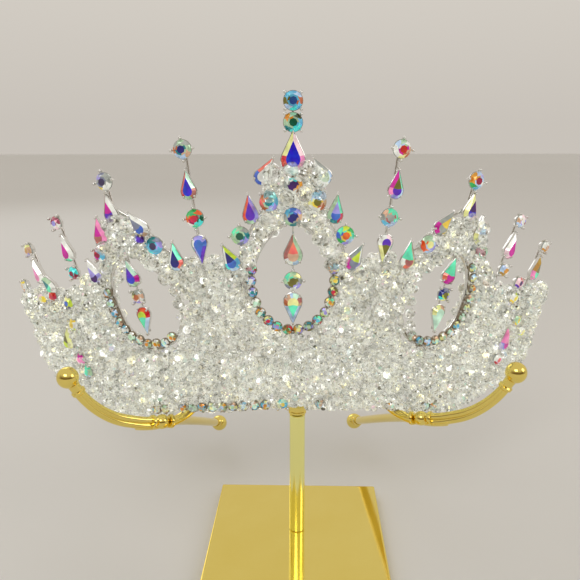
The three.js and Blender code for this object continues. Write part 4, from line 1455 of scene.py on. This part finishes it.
@dataclass
class SilverFrame:
    """Bands, ring wires, stems and stone settings, soldered.

    A band has its height and its share of the lower edge's rise. The other wires have places on the
    crown's right side, and are mirrored to the left.
    """

    stones: StoneWork
    out: float = -2.8
    radius: float = 0.75
    band_end: float = 83.0
    bands: tuple = ((3.5, 1.0), (20.0, 0.5))
    rim: float = 1.5
    stem_out: float = -1.6
    stem_radius: float = 0.5
    curve_steps: int = 4
    straight_steps: int = 12
    band_step: float = 4.0
    stems: tuple = (
        ((0, 59.0), (0, 96)),
        ((15.4, 44.0), (15.3, 83.5)),
        ((29.2, 51.5), (29.4, 76)),
        ((42.5, 40.0), (42.5, 65)),
        ((55.4, 38.0), (55.4, 57.6)),
    )
    hangers: tuple = (
        ((0, 60.5), (0, 28.6)),
        ((29.2, 52.0), (28.8, 26.0)),
    )
    hanger_out: float = -1.2
    hanger_radius: float = 0.3
    routes: tuple = (
        ((0, 3.4), (0, 25.0)),
        ((15.4, 3.0), (15.4, 45.0)),
        ((29.2, 2.0), (29.2, 21.5)),
        ((42.5, 2.4), (42.5, 41)),
        ((55.4, 4.6), (55.4, 39)),
        ((69, 12), (69.5, 42)),
        ((83, 21.5), (83, 32)),
        ((9.0, 20), (8.4, 34), (9.4, 46.0)),
        ((8.0, 41), (15.4, 45), (19.9, 41)),
        ((19.0, 20), (19.0, 38), (19.7, 49.6), (23.0, 53.2), (25.2, 60.0), (29.4, 65.4)),
        ((38.4, 21), (38.5, 34), (37.6, 44), (34.6, 51.4), (33.0, 58.6), (29.4, 65.4)),
        ((37.4, 38), (42.5, 40), (55.4, 39), (69.5, 40), (83, 32)),
    )
    dome_out: float = -4.4
    dome_radius: float = 0.5
    dome: tuple = (
        ((9.4, 46.0), (9.0, 50.0), (7.6, 55.3), (6.0, 60.4), (4.2, 65.0), (3.4, 72.0), (0, 78.0)),
        ((3.6, 65.2), (0, 60.7)),
    )

    def wire(self, places: list[Place], radius: float, out: float, closed: bool = False) -> Skin:
        """A round wire.

        Args:
            places: Places of the wall that it passes through.
            radius: Its radius.
            out: Its distance out of the wall.
            closed: Whether it is a ring.

        Returns:
            The wire's skin.
        """
        table = np.array(places, float)
        steps = self.curve_steps if len(places) > 2 else self.straight_steps
        path = smooth_path(WALL.points(table[:, 0], table[:, 1], out), steps, closed)
        return tube(path, radius, sides=10, closed=closed)

    def band(self, height: float, follow: float) -> list[Place]:
        """Places of a band that rises towards the ends.

        Args:
            height: Its height in the middle.
            follow: Its share of the lower edge's rise.

        Returns:
            The places from left to right.
        """
        turns = np.arange(-self.band_end, self.band_end, self.band_step)
        heights = height + follow * np.maximum(0, edge_height(LOWER_EDGE, turns))
        return list(zip(turns.tolist(), heights.tolist()))

    def build(self) -> None:
        """Makes the frame as one piece."""
        sheaf = Sheaf()
        for height, follow in self.bands:
            sheaf.add(self.wire(self.band(height, follow), self.radius, self.out))
        for outline in OPENINGS.values():
            sheaf.add(self.wire(grown(outline, self.rim), self.radius, self.out, closed=True))
        layers = (
            (self.routes, self.radius, self.out),
            (self.stems, self.stem_radius, self.stem_out),
            (self.hangers, self.hanger_radius, self.hanger_out),
            (self.dome, self.dome_radius, self.dome_out),
        )
        for routes, radius, out in layers:
            for route in routes:
                sheaf.add(self.wire(list(route), radius, out))
                if route[0][0] or route[-1][0]:
                    sheaf.add(self.wire(mirrored(list(route)), radius, out))
        for stone in self.stones.set_stones() + SUNKEN_STONES:
            sheaf.add(*stone.setting())
        finish_piece(sheaf.build("soldered_frame", SILVER.build(), smooth=40), Slot.SILVER, "crown_frame")


@dataclass
class CupChains:
    """Strings of tiny coated stones in dark cups round the openings and along the lower edge.

    The cup's rim has steps of how far in from its radius and how high. A claw's steps are shares of the
    way out to the rim, and heights. The share missing of the cups that beads hide at the edge is left out.
    """

    pitch: float = 3.5
    rim: float = 1.6
    cup_radius: float = 1.68
    cup_depth: float = 1.1
    cup_foot: float = 0.7
    cup_bevel: float = 0.3
    cup_rim: tuple = ((0.0, 0.0), (0.12, 0.12), (0.26, 0.02), (0.3, -0.8))
    claw: tuple = ((1.0, 0.0), (0.86, 0.45), (0.68, 0.55))
    claw_inset: float = 0.05
    claw_radius: float = 0.24
    # Strength of the tiny stones' painted glow
    painted_glow: float = 0.25
    edge_reach: float = 37.5
    edge_points: int = 26
    edge_rise: float = 1.3
    missing: float = 0.75
    bright: tuple = (
        H.YELLOW, H.STRAW, H.MINT, H.AMBER, H.SAGE, H.COPPER, H.TEAL, H.SKY, H.RED, H.PEARL, H.OLIVE, H.STRAW,
        H.PEARL, H.FOAM, H.LAVENDER, H.FOAM,
    )
    pale: tuple = (
        H.FOAM, H.PEARL, H.SAGE, H.ICE, H.STRAW, H.PEARL, H.TAN, H.SKY, H.FOAM, H.SMOKE, H.AMBER, H.ICE,
    )

    def spaced(self, places: list[Place], closed: bool) -> list[Place]:
        """Places at the chain's pitch along an outline.

        Args:
            places: The outline's places.
            closed: Whether the chain goes all the way round.

        Returns:
            One place for each cup.
        """
        table = np.array(places + places[:1] if closed else places, float)
        points = flat(table[:, 0], table[:, 1])
        length = np.concatenate([[0], np.cumsum(np.linalg.norm(np.diff(points, axis=0), axis=1))])
        count = int(length[-1] / self.pitch)
        at = np.linspace(0, length[-1], count, endpoint=not closed)
        line = np.stack([np.interp(at, length, points[:, i]) for i in (0, 1)], axis=-1)
        return list(zip(*(values.tolist() for values in unrolled(line))))

    def stone(self, place: Place, palette: tuple[Hue, ...], rng: np.random.Generator) -> Stone:
        """One tiny stone with four colours.

        Args:
            place: Its place on the wall.
            palette: The colours that it can have.
            rng: The source of random numbers.

        Returns:
            The stone.
        """
        heart, one, two, three = (palette[i] for i in rng.choice(len(palette), 4, replace=False))
        hues = (heart, one, one, two, heart, three, three, two)
        return Stone(*place, CutName.TINY, float(rng.uniform(0, 360)), hues)

    def cup(self, stone: Stone) -> list[Skin]:
        """A dark round cup with four short claws, in place.

        Args:
            stone: The stone that it holds.

        Returns:
            The skins of the cup and the claws.
        """
        r = self.cup_radius
        wall = [(r * self.cup_foot, -self.cup_depth), (r, -self.cup_depth + self.cup_bevel)]
        parts = [turned(wall + [(r - inset, z) for inset, z in self.cup_rim], sides=14)]
        for i in range(4):
            angle = math.radians(90 * i)
            foot = np.array([math.cos(angle), math.sin(angle), 0]) * (r - self.claw_inset)
            path = np.array([foot * share + [0, 0, z] for share, z in self.claw])
            parts.append(tube(path, self.claw_radius, sides=6))
        return [part.moved(stone.basis(), stone.origin()) for part in parts]

    def build(self) -> None:
        """Makes the four chains, cups and stones as separate pieces of one string."""
        metal, finish = BRONZE.build(), StoneFinish("chain_stone", self.painted_glow).build()
        rng = np.random.default_rng(SEED)
        lines = {name: self.spaced(grown(outline, self.rim), True) for name, outline in OPENINGS.items()}
        turns = np.linspace(-self.edge_reach, self.edge_reach, self.edge_points)
        heights = edge_height(LOWER_EDGE, turns) + self.edge_rise
        lines["edge"] = self.spaced(list(zip(turns.tolist(), heights.tolist())), False)
        for name, places in lines.items():
            stones, cups = Sheaf(), Sheaf()
            for place in places:
                if name in CHAIN_REACH and not CHAIN_REACH[name].shows(*place):
                    continue
                if name == "edge" and rng.uniform() < self.missing * edge_cover(place[0]):
                    continue
                stone = self.stone(place, self.bright if name == "centre" else self.pale, rng)
                stones.add(stone.skin())
                cups.add(*self.cup(stone))
            finish_piece(stones.build(f"chain_stones_{name}", finish), Slot.CHAIN, f"cup_chain_{name}")
            finish_piece(cups.build(f"chain_cups_{name}", metal, smooth=40), Slot.CHAIN)


@dataclass(frozen=True)
class BeadCut:
    """A faceted bead of radius one: rows of radius, height and half turn, from the top table down."""

    sides: int
    rows: tuple[tuple[float, float, int], ...]

    @functools.cached_property
    def mesh(self) -> tuple[Array, Array, Array]:
        """The bead's mesh.

        Returns:
            Points, triangles, and the number of the flat facet that each triangle belongs to.
        """
        points, faces, facets = [], [], []
        for radius, height, half in self.rows:
            angles = 2 * np.pi * (np.arange(self.sides) + half / 2) / self.sides
            points += [(radius * math.cos(a), radius * math.sin(a), height) for a in angles]
        n = self.sides
        number = 0
        for row, (upper, lower) in enumerate(zip(self.rows, self.rows[1:])):
            above, below = row * n, (row + 1) * n
            straight = upper[2] == lower[2]
            for i in range(n):
                j = (i + 1) % n
                if straight or upper[2]:
                    faces += [(above + i, below + i, below + j), (above + i, below + j, above + j)]
                else:
                    faces += [(above + i, below + (i - 1) % n, below + i), (above + i, below + i, above + j)]
                facets += [number, number if straight else number + 1]
                number = facets[-1] + 1
        last = (len(self.rows) - 1) * n
        for i in range(1, n - 1):
            faces += [(0, i, i + 1), (last, last + i + 1, last + i)]
            facets += [number, number + 1]
        return np.array(points), np.array(faces), np.array(facets)


RONDELLE = BeadCut(8, ((0.56, 0.66, 0), (1.0, 0.06, 1), (1.0, -0.06, 1), (0.56, -0.66, 0)))
HEXAGON = BeadCut(6, ((0.6, 0.6, 0), (1.0, 0.0, 1), (0.6, -0.6, 0)))
FINE_RONDELLE = BeadCut(14, (
    (0.34, 0.78, 0), (0.62, 0.62, 1), (0.85, 0.38, 0), (1.0, 0.06, 1), (1.0, -0.06, 1), (0.85, -0.38, 0),
    (0.62, -0.62, 1), (0.34, -0.78, 0)))


@dataclass(frozen=True)
class CrystalMix:
    """How often the facets of clear beads are pale, grey, warm, dark, coloured or lit by a painted glint.

    A shade has its colour, its least value and the range above that, for the first four kinds in order. The
    dark kind is painted shade, and every facet also gives off a painted glow.
    """

    pale: float = 0.66
    grey: float = 0.18
    warm: float = 0.12
    dark: float = 0.015
    tinted: float = 0.012
    painted_glint: float = 0.013
    # Strength of the painted glow that every facet gives off
    painted_glow: float = 0.11
    shades: tuple = (
        ((0.96, 0.965, 0.92), 0.8, 0.2),
        ((0.93, 0.95, 0.88), 0.45, 0.3),
        ((0.94, 0.9, 0.74), 0.8, 0.2),
        # Dark facets: painted shade, standing in for dark reflections in the clear glass
        ((0.12, 0.11, 0.08), 0.5, 1.0),
    )
    tinted_hues: tuple = (H.CYAN, H.YELLOW, H.PINK, H.MINT, H.SKY, H.AMBER, H.LAVENDER)
    tinted_share: float = 0.5
    # Painted gold reflections: the colour that the brightest painted glints take, and the value from which
    # they take it
    golden_glint: tuple[float, float, float] = (1.0, 0.93, 0.5)
    golden_glint_from: float = 0.75
    # Least strength of a painted glint's light, and the range above that
    painted_glint_light: tuple[float, float] = (0.55, 0.5)

    def draw(self, count: int, rng: np.random.Generator) -> tuple[Array, Array]:
        """Draws the look of facets.

        Args:
            count: Number of facets.
            rng: The source of random numbers.

        Returns:
            Their tints and their painted light, glow and glints, one row each.
        """
        chances = [self.pale, self.grey, self.warm, self.dark, self.tinted, self.painted_glint]
        kinds = rng.choice(len(chances), count, p=chances)[:, None]
        value = rng.uniform(0.0, 1.0, count)[:, None]
        palette = np.array([hue.linear for hue in self.tinted_hues])
        hues = palette[rng.integers(len(palette), size=count)]
        choices = [np.array(colour) * (least + span * value) for colour, least, span in self.shades]
        choices.append(1 - self.tinted_share + self.tinted_share * hues)
        choices.append(np.where(value > self.golden_glint_from, np.array(self.golden_glint), np.ones(3)))
        tints = np.choose(kinds, [np.broadcast_to(choice, (count, 3)) for choice in choices])
        # Every facet gives off a painted glow, and the glint facets a brighter painted glint in its place
        painted_glow = self.painted_glow * rng.uniform(0.0, 2.0, count)[:, None]
        least, span = self.painted_glint_light
        painted_glints = np.where(kinds == len(choices) - 1, least + span * value, painted_glow) * tints
        return tints, painted_glints


class Region(Enum):
    """Where a layer's beads lie, and which mix of facets they have."""

    WALL = "the whole wall"
    ARCHES = "large beads on the dome and round the arches"
    # These beads look bright partly from the painted glints in their facets
    FLASHES = "single bright beads over the whole wall"


@dataclass(frozen=True)
class BeadLayer:
    """One layer of beads: cut, sizes, pitch, distance out of the wall, and gaps to what it keeps clear of."""

    cut: BeadCut
    radius: tuple[float, float]
    pitch: float
    out: float
    scatter: float
    clear_of_stones: float | None
    top_inset: float = 1.2
    bottom_inset: float = 0.2
    opening_gap: float = 3.9
    region: Region = Region.WALL


# The turns at which one bead panel ends and the next starts, from left to right
PANEL_EDGES = (-90.0, -38.4, -15.4, 15.4, 38.4, 90.0)
PANEL_NAMES = ("end_left", "side_left", "front", "side_right", "end_right")
PANELS: dict[str, tuple[float, float]] = dict(zip(PANEL_NAMES, zip(PANEL_EDGES, PANEL_EDGES[1:])))


def random_turns(count: int, rng: np.random.Generator) -> Array:
    """Rotations drawn evenly from all there are.

    Args:
        count: How many to draw.
        rng: The source of random numbers.

    Returns:
        A 3 by 3 array for each.
    """
    w, x, y, z = unit(rng.normal(size=(count, 4))).T
    return np.stack([
        np.stack([1 - 2 * (y * y + z * z), 2 * (x * y - z * w), 2 * (x * z + y * w)], -1),
        np.stack([2 * (x * y + z * w), 1 - 2 * (x * x + z * z), 2 * (y * z - x * w)], -1),
        np.stack([2 * (x * z - y * w), 2 * (y * z + x * w), 1 - 2 * (x * x + y * y)], -1),
    ], axis=1)


@dataclass
class BeadWork:
    """The beaded wall: layers of clear faceted beads, parted into five panels.

    row_share and jitter are shares of a layer's pitch, row_heights is the stretch that its rows cover, and
    a side arch lies between the turns of arch_sides. The edge's hung beads draw from pairs of numbers.
    """

    stones: StoneWork
    mix: CrystalMix = CrystalMix()
    # The large beads and the flashes have more painted glints, and the large ones more dark facets of painted
    # shade
    big_mix: CrystalMix = CrystalMix(pale=0.52, grey=0.28, warm=0.1, dark=0.05, tinted=0.02, painted_glint=0.03)
    flash_mix: CrystalMix = CrystalMix(pale=0.54, grey=0.15, warm=0.12, dark=0.0, tinted=0.08, painted_glint=0.11)
    bare_edge: float = 0.3
    row_heights: tuple[float, float] = (-4.0, 78.0)
    row_share: float = 0.87
    jitter: float = 0.28
    middle_height: float = 45.0
    dome_side: float = 14.0
    dome_above: float = 40.0
    arch_sides: tuple[float, float] = (18.5, 40.0)
    arch_above: float = 38.0
    end_depth: float = 9.0
    big_share: float = 0.85
    hung_step: float = 0.65
    hung_heights: tuple[float, float] = (0.2, 2.6)
    upper_heights: tuple[float, float] = (3.0, 4.2)
    hung_outs: tuple[float, float] = (0.0, 1.2)
    hung_sizes: tuple[float, float] = (0.9, 1.35)
    hem_drop: float = 1.8
    hem_middle: float = 43.0
    hem_spread: float = 7.0
    big_out: float = 0.6
    layers: tuple[BeadLayer, ...] = (
        BeadLayer(RONDELLE, (1.7, 2.2), 3.7, -7.0, 0.6, None),
        BeadLayer(RONDELLE, (1.6, 2.1), 3.4, -4.6, 0.6, None, opening_gap=3.2),
        BeadLayer(RONDELLE, (1.1, 1.5), 2.6, -2.3, 0.6, 0.6, opening_gap=3.3),
        BeadLayer(RONDELLE, (0.8, 1.25), 2.3, -0.6, 0.7, 0.7, opening_gap=3.6),
        BeadLayer(FINE_RONDELLE, (2.4, 3.1), 5.0, -1.6, 0.8, 0.2, 1.6, opening_gap=3.0, region=Region.ARCHES),
        BeadLayer(HEXAGON, (1.3, 1.7), 8.5, -0.2, 0.4, 0.6, 2.0, 3.0, opening_gap=4.2, region=Region.FLASHES),
    )

    def candidates(self, layer: BeadLayer, rng: np.random.Generator) -> Array:
        """Jittered places of one layer, before any is left out.

        Args:
            layer: The layer.
            rng: The source of random numbers.

        Returns:
            The places, laid out flat.
        """
        reach = math.radians(UPPER_EDGE[-1][0]) * WALL.radius(self.middle_height)
        grid = []
        for i, height in enumerate(np.arange(*self.row_heights, layer.pitch * self.row_share)):
            across = np.arange(-reach, reach, layer.pitch) + (i % 2) * layer.pitch / 2
            grid.append(np.stack([across, np.full_like(across, height)], axis=-1))
        points = np.concatenate(grid)
        return points + rng.uniform(-self.jitter, self.jitter, points.shape) * layer.pitch

    def hem(self, turns: Array) -> Array:
        """Height of the beads' lower edge, which drops to the stand's arms on both sides."""
        beyond = (np.abs(turns) - self.hem_middle) / self.hem_spread
        return edge_height(LOWER_EDGE, turns) - self.hem_drop * np.exp(-beyond * beyond)

    def edge_beads(self, rng: np.random.Generator) -> list[Skin | None]:
        """Small beads that hang in front of the lower edge's cup chain, and a row just above it.

        Args:
            rng: The source of random numbers.

        Returns:
            The skin of each panel's beads, or None where a panel has none.
        """
        reach, step = EDGE_COVER[-1][1], self.hung_step
        turns = np.arange(-reach, reach, step)
        turns = turns + rng.uniform(-step, step, len(turns)) / 2
        hung = turns[rng.uniform(0, 1, len(turns)) < edge_cover(turns)]
        above = turns[::2]
        heights = np.concatenate([
            self.hem(hung) + rng.uniform(*self.hung_heights, len(hung)),
            self.hem(above) + rng.uniform(*self.upper_heights, len(above)),
        ])
        turns = np.concatenate([hung, above])
        outs = rng.uniform(*self.hung_outs, len(turns))
        sizes = rng.uniform(*self.hung_sizes, len(turns))
        return self.beads(RONDELLE, turns, heights, outs, sizes, rng)

    def raised(self, turns: Array, heights: Array) -> Array:
        """Where the large beads lie: on the dome, over the side arches, and along the top of the ends.

        Args:
            turns: Turns of places on the wall.
            heights: Their heights.

        Returns:
            True or False for each place.
        """
        side = np.abs(turns)
        dome = (side < self.dome_side) & (heights > self.dome_above)
        arch = (side > self.arch_sides[0]) & (side < self.arch_sides[1]) & (heights > self.arch_above)
        ends = (side > self.arch_sides[1]) & (heights > edge_height(UPPER_EDGE, turns) - self.end_depth)
        return dome | arch | ends

    def kept(self, layer: BeadLayer, points: Array) -> Array:
        """Which places of a layer lie on the beaded wall, off the openings and clear of the stones.

        Args:
            layer: The layer.
            points: The places, laid out flat.

        Returns:
            True or False for each place.
        """
        turns, heights = unrolled(points)
        keep = heights < edge_height(UPPER_EDGE, turns) - layer.top_inset
        keep &= heights > self.hem(turns) + layer.bottom_inset
        for step in (-1, 1):
            beside, level = unrolled(points + [step * layer.top_inset, 0.0])
            keep &= level < edge_height(UPPER_EDGE, beside)
        keep &= np.abs(turns) < UPPER_EDGE[-1][0]
        for name, outline in OPENINGS.items():
            shown = CHAIN_REACH[name].shows(turns, heights)
            gap = np.where(shown, layer.opening_gap, layer.radius[0] + self.bare_edge)
            keep &= depth_inside(points, outline) < -gap
        if layer.region is Region.ARCHES:
            keep &= self.raised(turns, heights)
        if layer.clear_of_stones is not None:
            for stone in self.stones.set_stones() + SUNKEN_STONES:
                keep &= ~self.near(points, stone, layer.clear_of_stones)
            for turn, height, radius in BIG_BEADS:
                keep &= np.linalg.norm(points - flat(turn, height), axis=1) > radius * self.big_share
        return keep

    def near(self, points: Array, stone: Stone, gap: float) -> Array:
        """Which places lie within a gap of a stone's outline.

        Args:
            points: The places, laid out flat.
            stone: The stone.
            gap: The gap round it.

        Returns:
            True or False for each place.
        """
        cut = stone.cut.value
        lean = math.radians(stone.lean)
        offset = points - flat(stone.turn, stone.height)
        across = offset[:, 0] * math.cos(lean) - offset[:, 1] * math.sin(lean)
        along = offset[:, 0] * math.sin(lean) + offset[:, 1] * math.cos(lean)
        reach = cut.width / 2 + gap
        if not cut.pear:
            return np.hypot(across, along) < reach
        middle = -cut.length / 2 + cut.width / 2
        taper = np.clip((cut.length / 2 + gap - along) / (cut.length / 2 - middle), 0, 1)
        upper = (along > middle) & (along < cut.length / 2 + gap) & (np.abs(across) < reach * taper)
        return upper | (np.hypot(across, along - middle) < reach)

    def skins(self, layer: BeadLayer, rng: np.random.Generator) -> list[Skin | None]:
        """The beads of one layer.

        Args:
            layer: The layer.
            rng: The source of random numbers.

        Returns:
            The skin of each panel's beads, or None where a panel has none.
        """
        points = self.candidates(layer, rng)
        points = points[self.kept(layer, points)]
        turns, heights = unrolled(points)
        outs = layer.out + rng.uniform(-layer.scatter, layer.scatter, len(points))
        sizes = rng.uniform(*layer.radius, len(points))
        mix = {Region.ARCHES: self.big_mix, Region.FLASHES: self.flash_mix}.get(layer.region, self.mix)
        return self.beads(layer.cut, turns, heights, outs, sizes, rng, mix)

    def beads(self, cut: BeadCut, turns: Array, heights: Array, outs: Array, sizes: Array,
              rng: np.random.Generator, mix: CrystalMix | None = None) -> list[Skin | None]:
        """Beads of one cut at given places, turned any way.

        Args:
            cut: Their shape.
            turns: The turn of each.
            heights: The height of each.
            outs: The distance out of the wall of each.
            sizes: The radius of each.
            rng: The source of random numbers.
            mix: How their facets look, if not as on the rest of the wall.

        Returns:
            The skin of each panel's beads, or None where a panel has none.
        """
        count = len(turns)
        middles = WALL.points(turns, heights, outs)
        spins = random_turns(count, rng)
        corners, faces, facets = cut.mesh
        shaped = np.einsum("nij,kj->nki", spins, corners) * sizes[:, None, None] + middles[:, None, :]
        looks = facets.max() + 1
        tints, painted_glints = (mix or self.mix).draw(count * looks, rng)
        pick = (np.arange(count)[:, None] * looks + facets[None]).ravel()
        parts = []
        for low, high in PANELS.values():
            mask = (turns >= low) & (turns < high)
            if not mask.any():
                parts.append(None)
                continue
            starts = np.arange(mask.sum()) * len(corners)
            numbers = (faces[None] + starts[:, None, None]).reshape(-1, 3)
            shown = pick[np.repeat(mask, len(faces))]
            parts.append(Skin(shaped[mask].reshape(-1, 3), numbers, tints[shown], painted_glints[shown]))
        return parts

    def build(self) -> None:
        """Makes one piece for each panel."""
        rng = np.random.default_rng(SEED)
        finish = CrystalFinish().build()
        sheaves = {name: Sheaf() for name in PANELS}
        big = np.array(BIG_BEADS)
        rows = [self.skins(layer, rng) for layer in self.layers]
        outs = np.full(len(big), self.big_out)
        rows.append(self.beads(FINE_RONDELLE, big[:, 0], big[:, 1], outs, big[:, 2], rng, self.big_mix))
        rows.append(self.edge_beads(rng))
        for row in rows:
            for sheaf, skin in zip(sheaves.values(), row):
                if skin is not None:
                    sheaf.add(skin)
        for name, sheaf in sheaves.items():
            finish_piece(sheaf.build(f"beads_{name}", finish), Slot.BEADS, f"bead_panel_{name}")


@dataclass(frozen=True)
class SoftBox:
    """A soft studio lamp: its place and target in metres, its size, strength in watts and colour."""

    name: str
    place: tuple[float, float, float]
    target: tuple[float, float, float]
    size: tuple[float, float]
    power: float
    colour: tuple[float, float, float] = (1.0, 1.0, 1.0)

    def build(self) -> None:
        """Hangs the lamp."""
        lamp = bpy.data.lights.new(self.name, "AREA")
        lamp.shape, lamp.size, lamp.size_y = "RECTANGLE", *self.size
        lamp.energy, lamp.color = self.power, self.colour
        holder = bpy.data.objects.new(self.name, lamp)
        aim = np.array(self.target) - np.array(self.place)
        basis = basis_along(-aim)
        holder.matrix_world = Matrix.Translation(self.place) @ Matrix(basis.tolist()).to_4x4()
        bpy.context.scene.collection.objects.link(holder)


@dataclass(frozen=True)
class Studio:
    """Camera, pale floor, soft lamps and the room's own light."""

    camera_place: tuple[float, float, float] = (-0.0093, -0.217, 0.1437)
    camera_turn: tuple[float, float, float] = (76.3, 0.0, -1.8)
    lens: float = 42.83
    sensor: float = 36.0
    nearest: float = 0.01
    floor_side: float = 6.0
    floor_colour: tuple[float, float, float] = (0.74, 0.73, 0.71)
    horizon_colour: tuple[float, float, float] = (0.58, 0.54, 0.49)
    sky_colour: tuple[float, float, float] = (0.66, 0.62, 0.56)
    dim_share: tuple[float, float, float] = (0.26, 0.2, 0.15)
    lamps: tuple[SoftBox, ...] = (
        SoftBox("front_lamp", (-0.25, -0.75, 0.75), (0, 0, 0.09), (0.5, 0.35), 1.7),
        SoftBox("side_lamp", (0.8, -0.3, 0.5), (0, 0, 0.09), (0.4, 0.4), 0.9, (1.0, 0.97, 0.93)),
        SoftBox("back_lamp", (-0.4, 0.8, 0.6), (0, 0, 0.1), (0.6, 0.4), 0.9, (0.95, 0.97, 1.0)),
    )

    def build_camera(self) -> None:
        """Places the camera where the photo was taken from."""
        data = bpy.data.cameras.new("camera")
        data.lens, data.sensor_width, data.clip_start = self.lens, self.sensor, self.nearest
        camera = bpy.data.objects.new("camera", data)
        camera.location = self.camera_place
        camera.rotation_euler = [math.radians(angle) for angle in self.camera_turn]
        bpy.context.scene.collection.objects.link(camera)
        bpy.context.scene.camera = camera

    def build_floor(self) -> None:
        """Lays the pale floor."""
        material, shader = new_material("pale_floor")
        tree = material.node_tree
        cloud = add_node(tree, "TexNoise")
        set_inputs(cloud, Scale=9.0, Detail=3.0)
        ramp = add_node(tree, "MapRange")
        set_inputs(ramp, To_Min=0.97, To_Max=1.03)
        link(cloud, "Fac", ramp, "Value")
        scaled = add_node(tree, "VectorMath", operation="SCALE")
        scaled.inputs[0].default_value = self.floor_colour
        link(ramp, "Result", scaled, "Scale")
        link(scaled, "Vector", shader, "Base Color")
        set_inputs(shader, Roughness=0.6)
        half = self.floor_side / 2
        mesh = bpy.data.meshes.new("floor")
        corners = [(-half, -half, 0), (half, -half, 0), (half, half, 0), (-half, half, 0)]
        mesh.from_pydata(corners, [], [(0, 1, 2, 3)])
        mesh.materials.append(material)
        floor = bpy.data.objects.new("floor", mesh)
        bpy.context.scene.collection.objects.link(floor)

    def build_room(self) -> None:
        """Fills the room with pale light that is dimmer low down behind the camera."""
        world = bpy.data.worlds.new("room")
        world.use_nodes = True
        bpy.context.scene.world = world
        tree = world.node_tree
        background = tree.nodes["Background"]
        place = add_node(tree, "TexCoord")
        parts = add_node(tree, "SeparateXYZ")
        link(place, "Generated", parts, "Vector")
        height = add_node(tree, "MapRange", interpolation_type="SMOOTHSTEP")
        set_inputs(height, From_Min=0.15, From_Max=0.6, To_Min=0.0, To_Max=1.0)
        link(parts, "Z", height, "Value")
        behind = add_node(tree, "MapRange", interpolation_type="SMOOTHSTEP")
        set_inputs(behind, From_Min=-0.75, From_Max=0.1, To_Min=0.0, To_Max=1.0)
        link(parts, "Y", behind, "Value")
        light = add_node(tree, "Math", operation="MAXIMUM")
        link(height, "Result", light, 0)
        link(behind, "Result", light, 1)
        sky = add_node(tree, "ValToRGB")
        sky.color_ramp.elements[0].color = (*self.horizon_colour, 1)
        sky.color_ramp.elements[1].color = (*self.sky_colour, 1)
        sky.color_ramp.elements[1].position = 0.2
        link(parts, "Z", sky, "Fac")
        dimmed = add_node(tree, "VectorMath", operation="MULTIPLY")
        dim = add_node(tree, "ValToRGB")
        dim.color_ramp.elements[0].color = (*self.dim_share, 1)
        link(light, "Value", dim, "Fac")
        link(sky, "Color", dimmed, 0)
        link(dim, "Color", dimmed, 1)
        link(dimmed, "Vector", background, "Color")
        set_inputs(background, Strength=1.0)

    def build(self) -> None:
        """Sets up the whole studio."""
        bpy.context.scene.view_settings.view_transform = "Standard"
        self.build_camera()
        self.build_floor()
        self.build_room()
        for lamp in self.lamps:
            lamp.build()


def main() -> None:
    """Builds the studio, the stand and the crown in order."""
    logging.basicConfig(level=logging.INFO, format="%(message)s")
    Studio().build()
    DisplayStand().build()
    stones = StoneWork()
    stones.build()
    SilverFrame(stones).build()
    CupChains().build()
    BeadWork(stones).build()


if __name__ == "__main__":
    main()
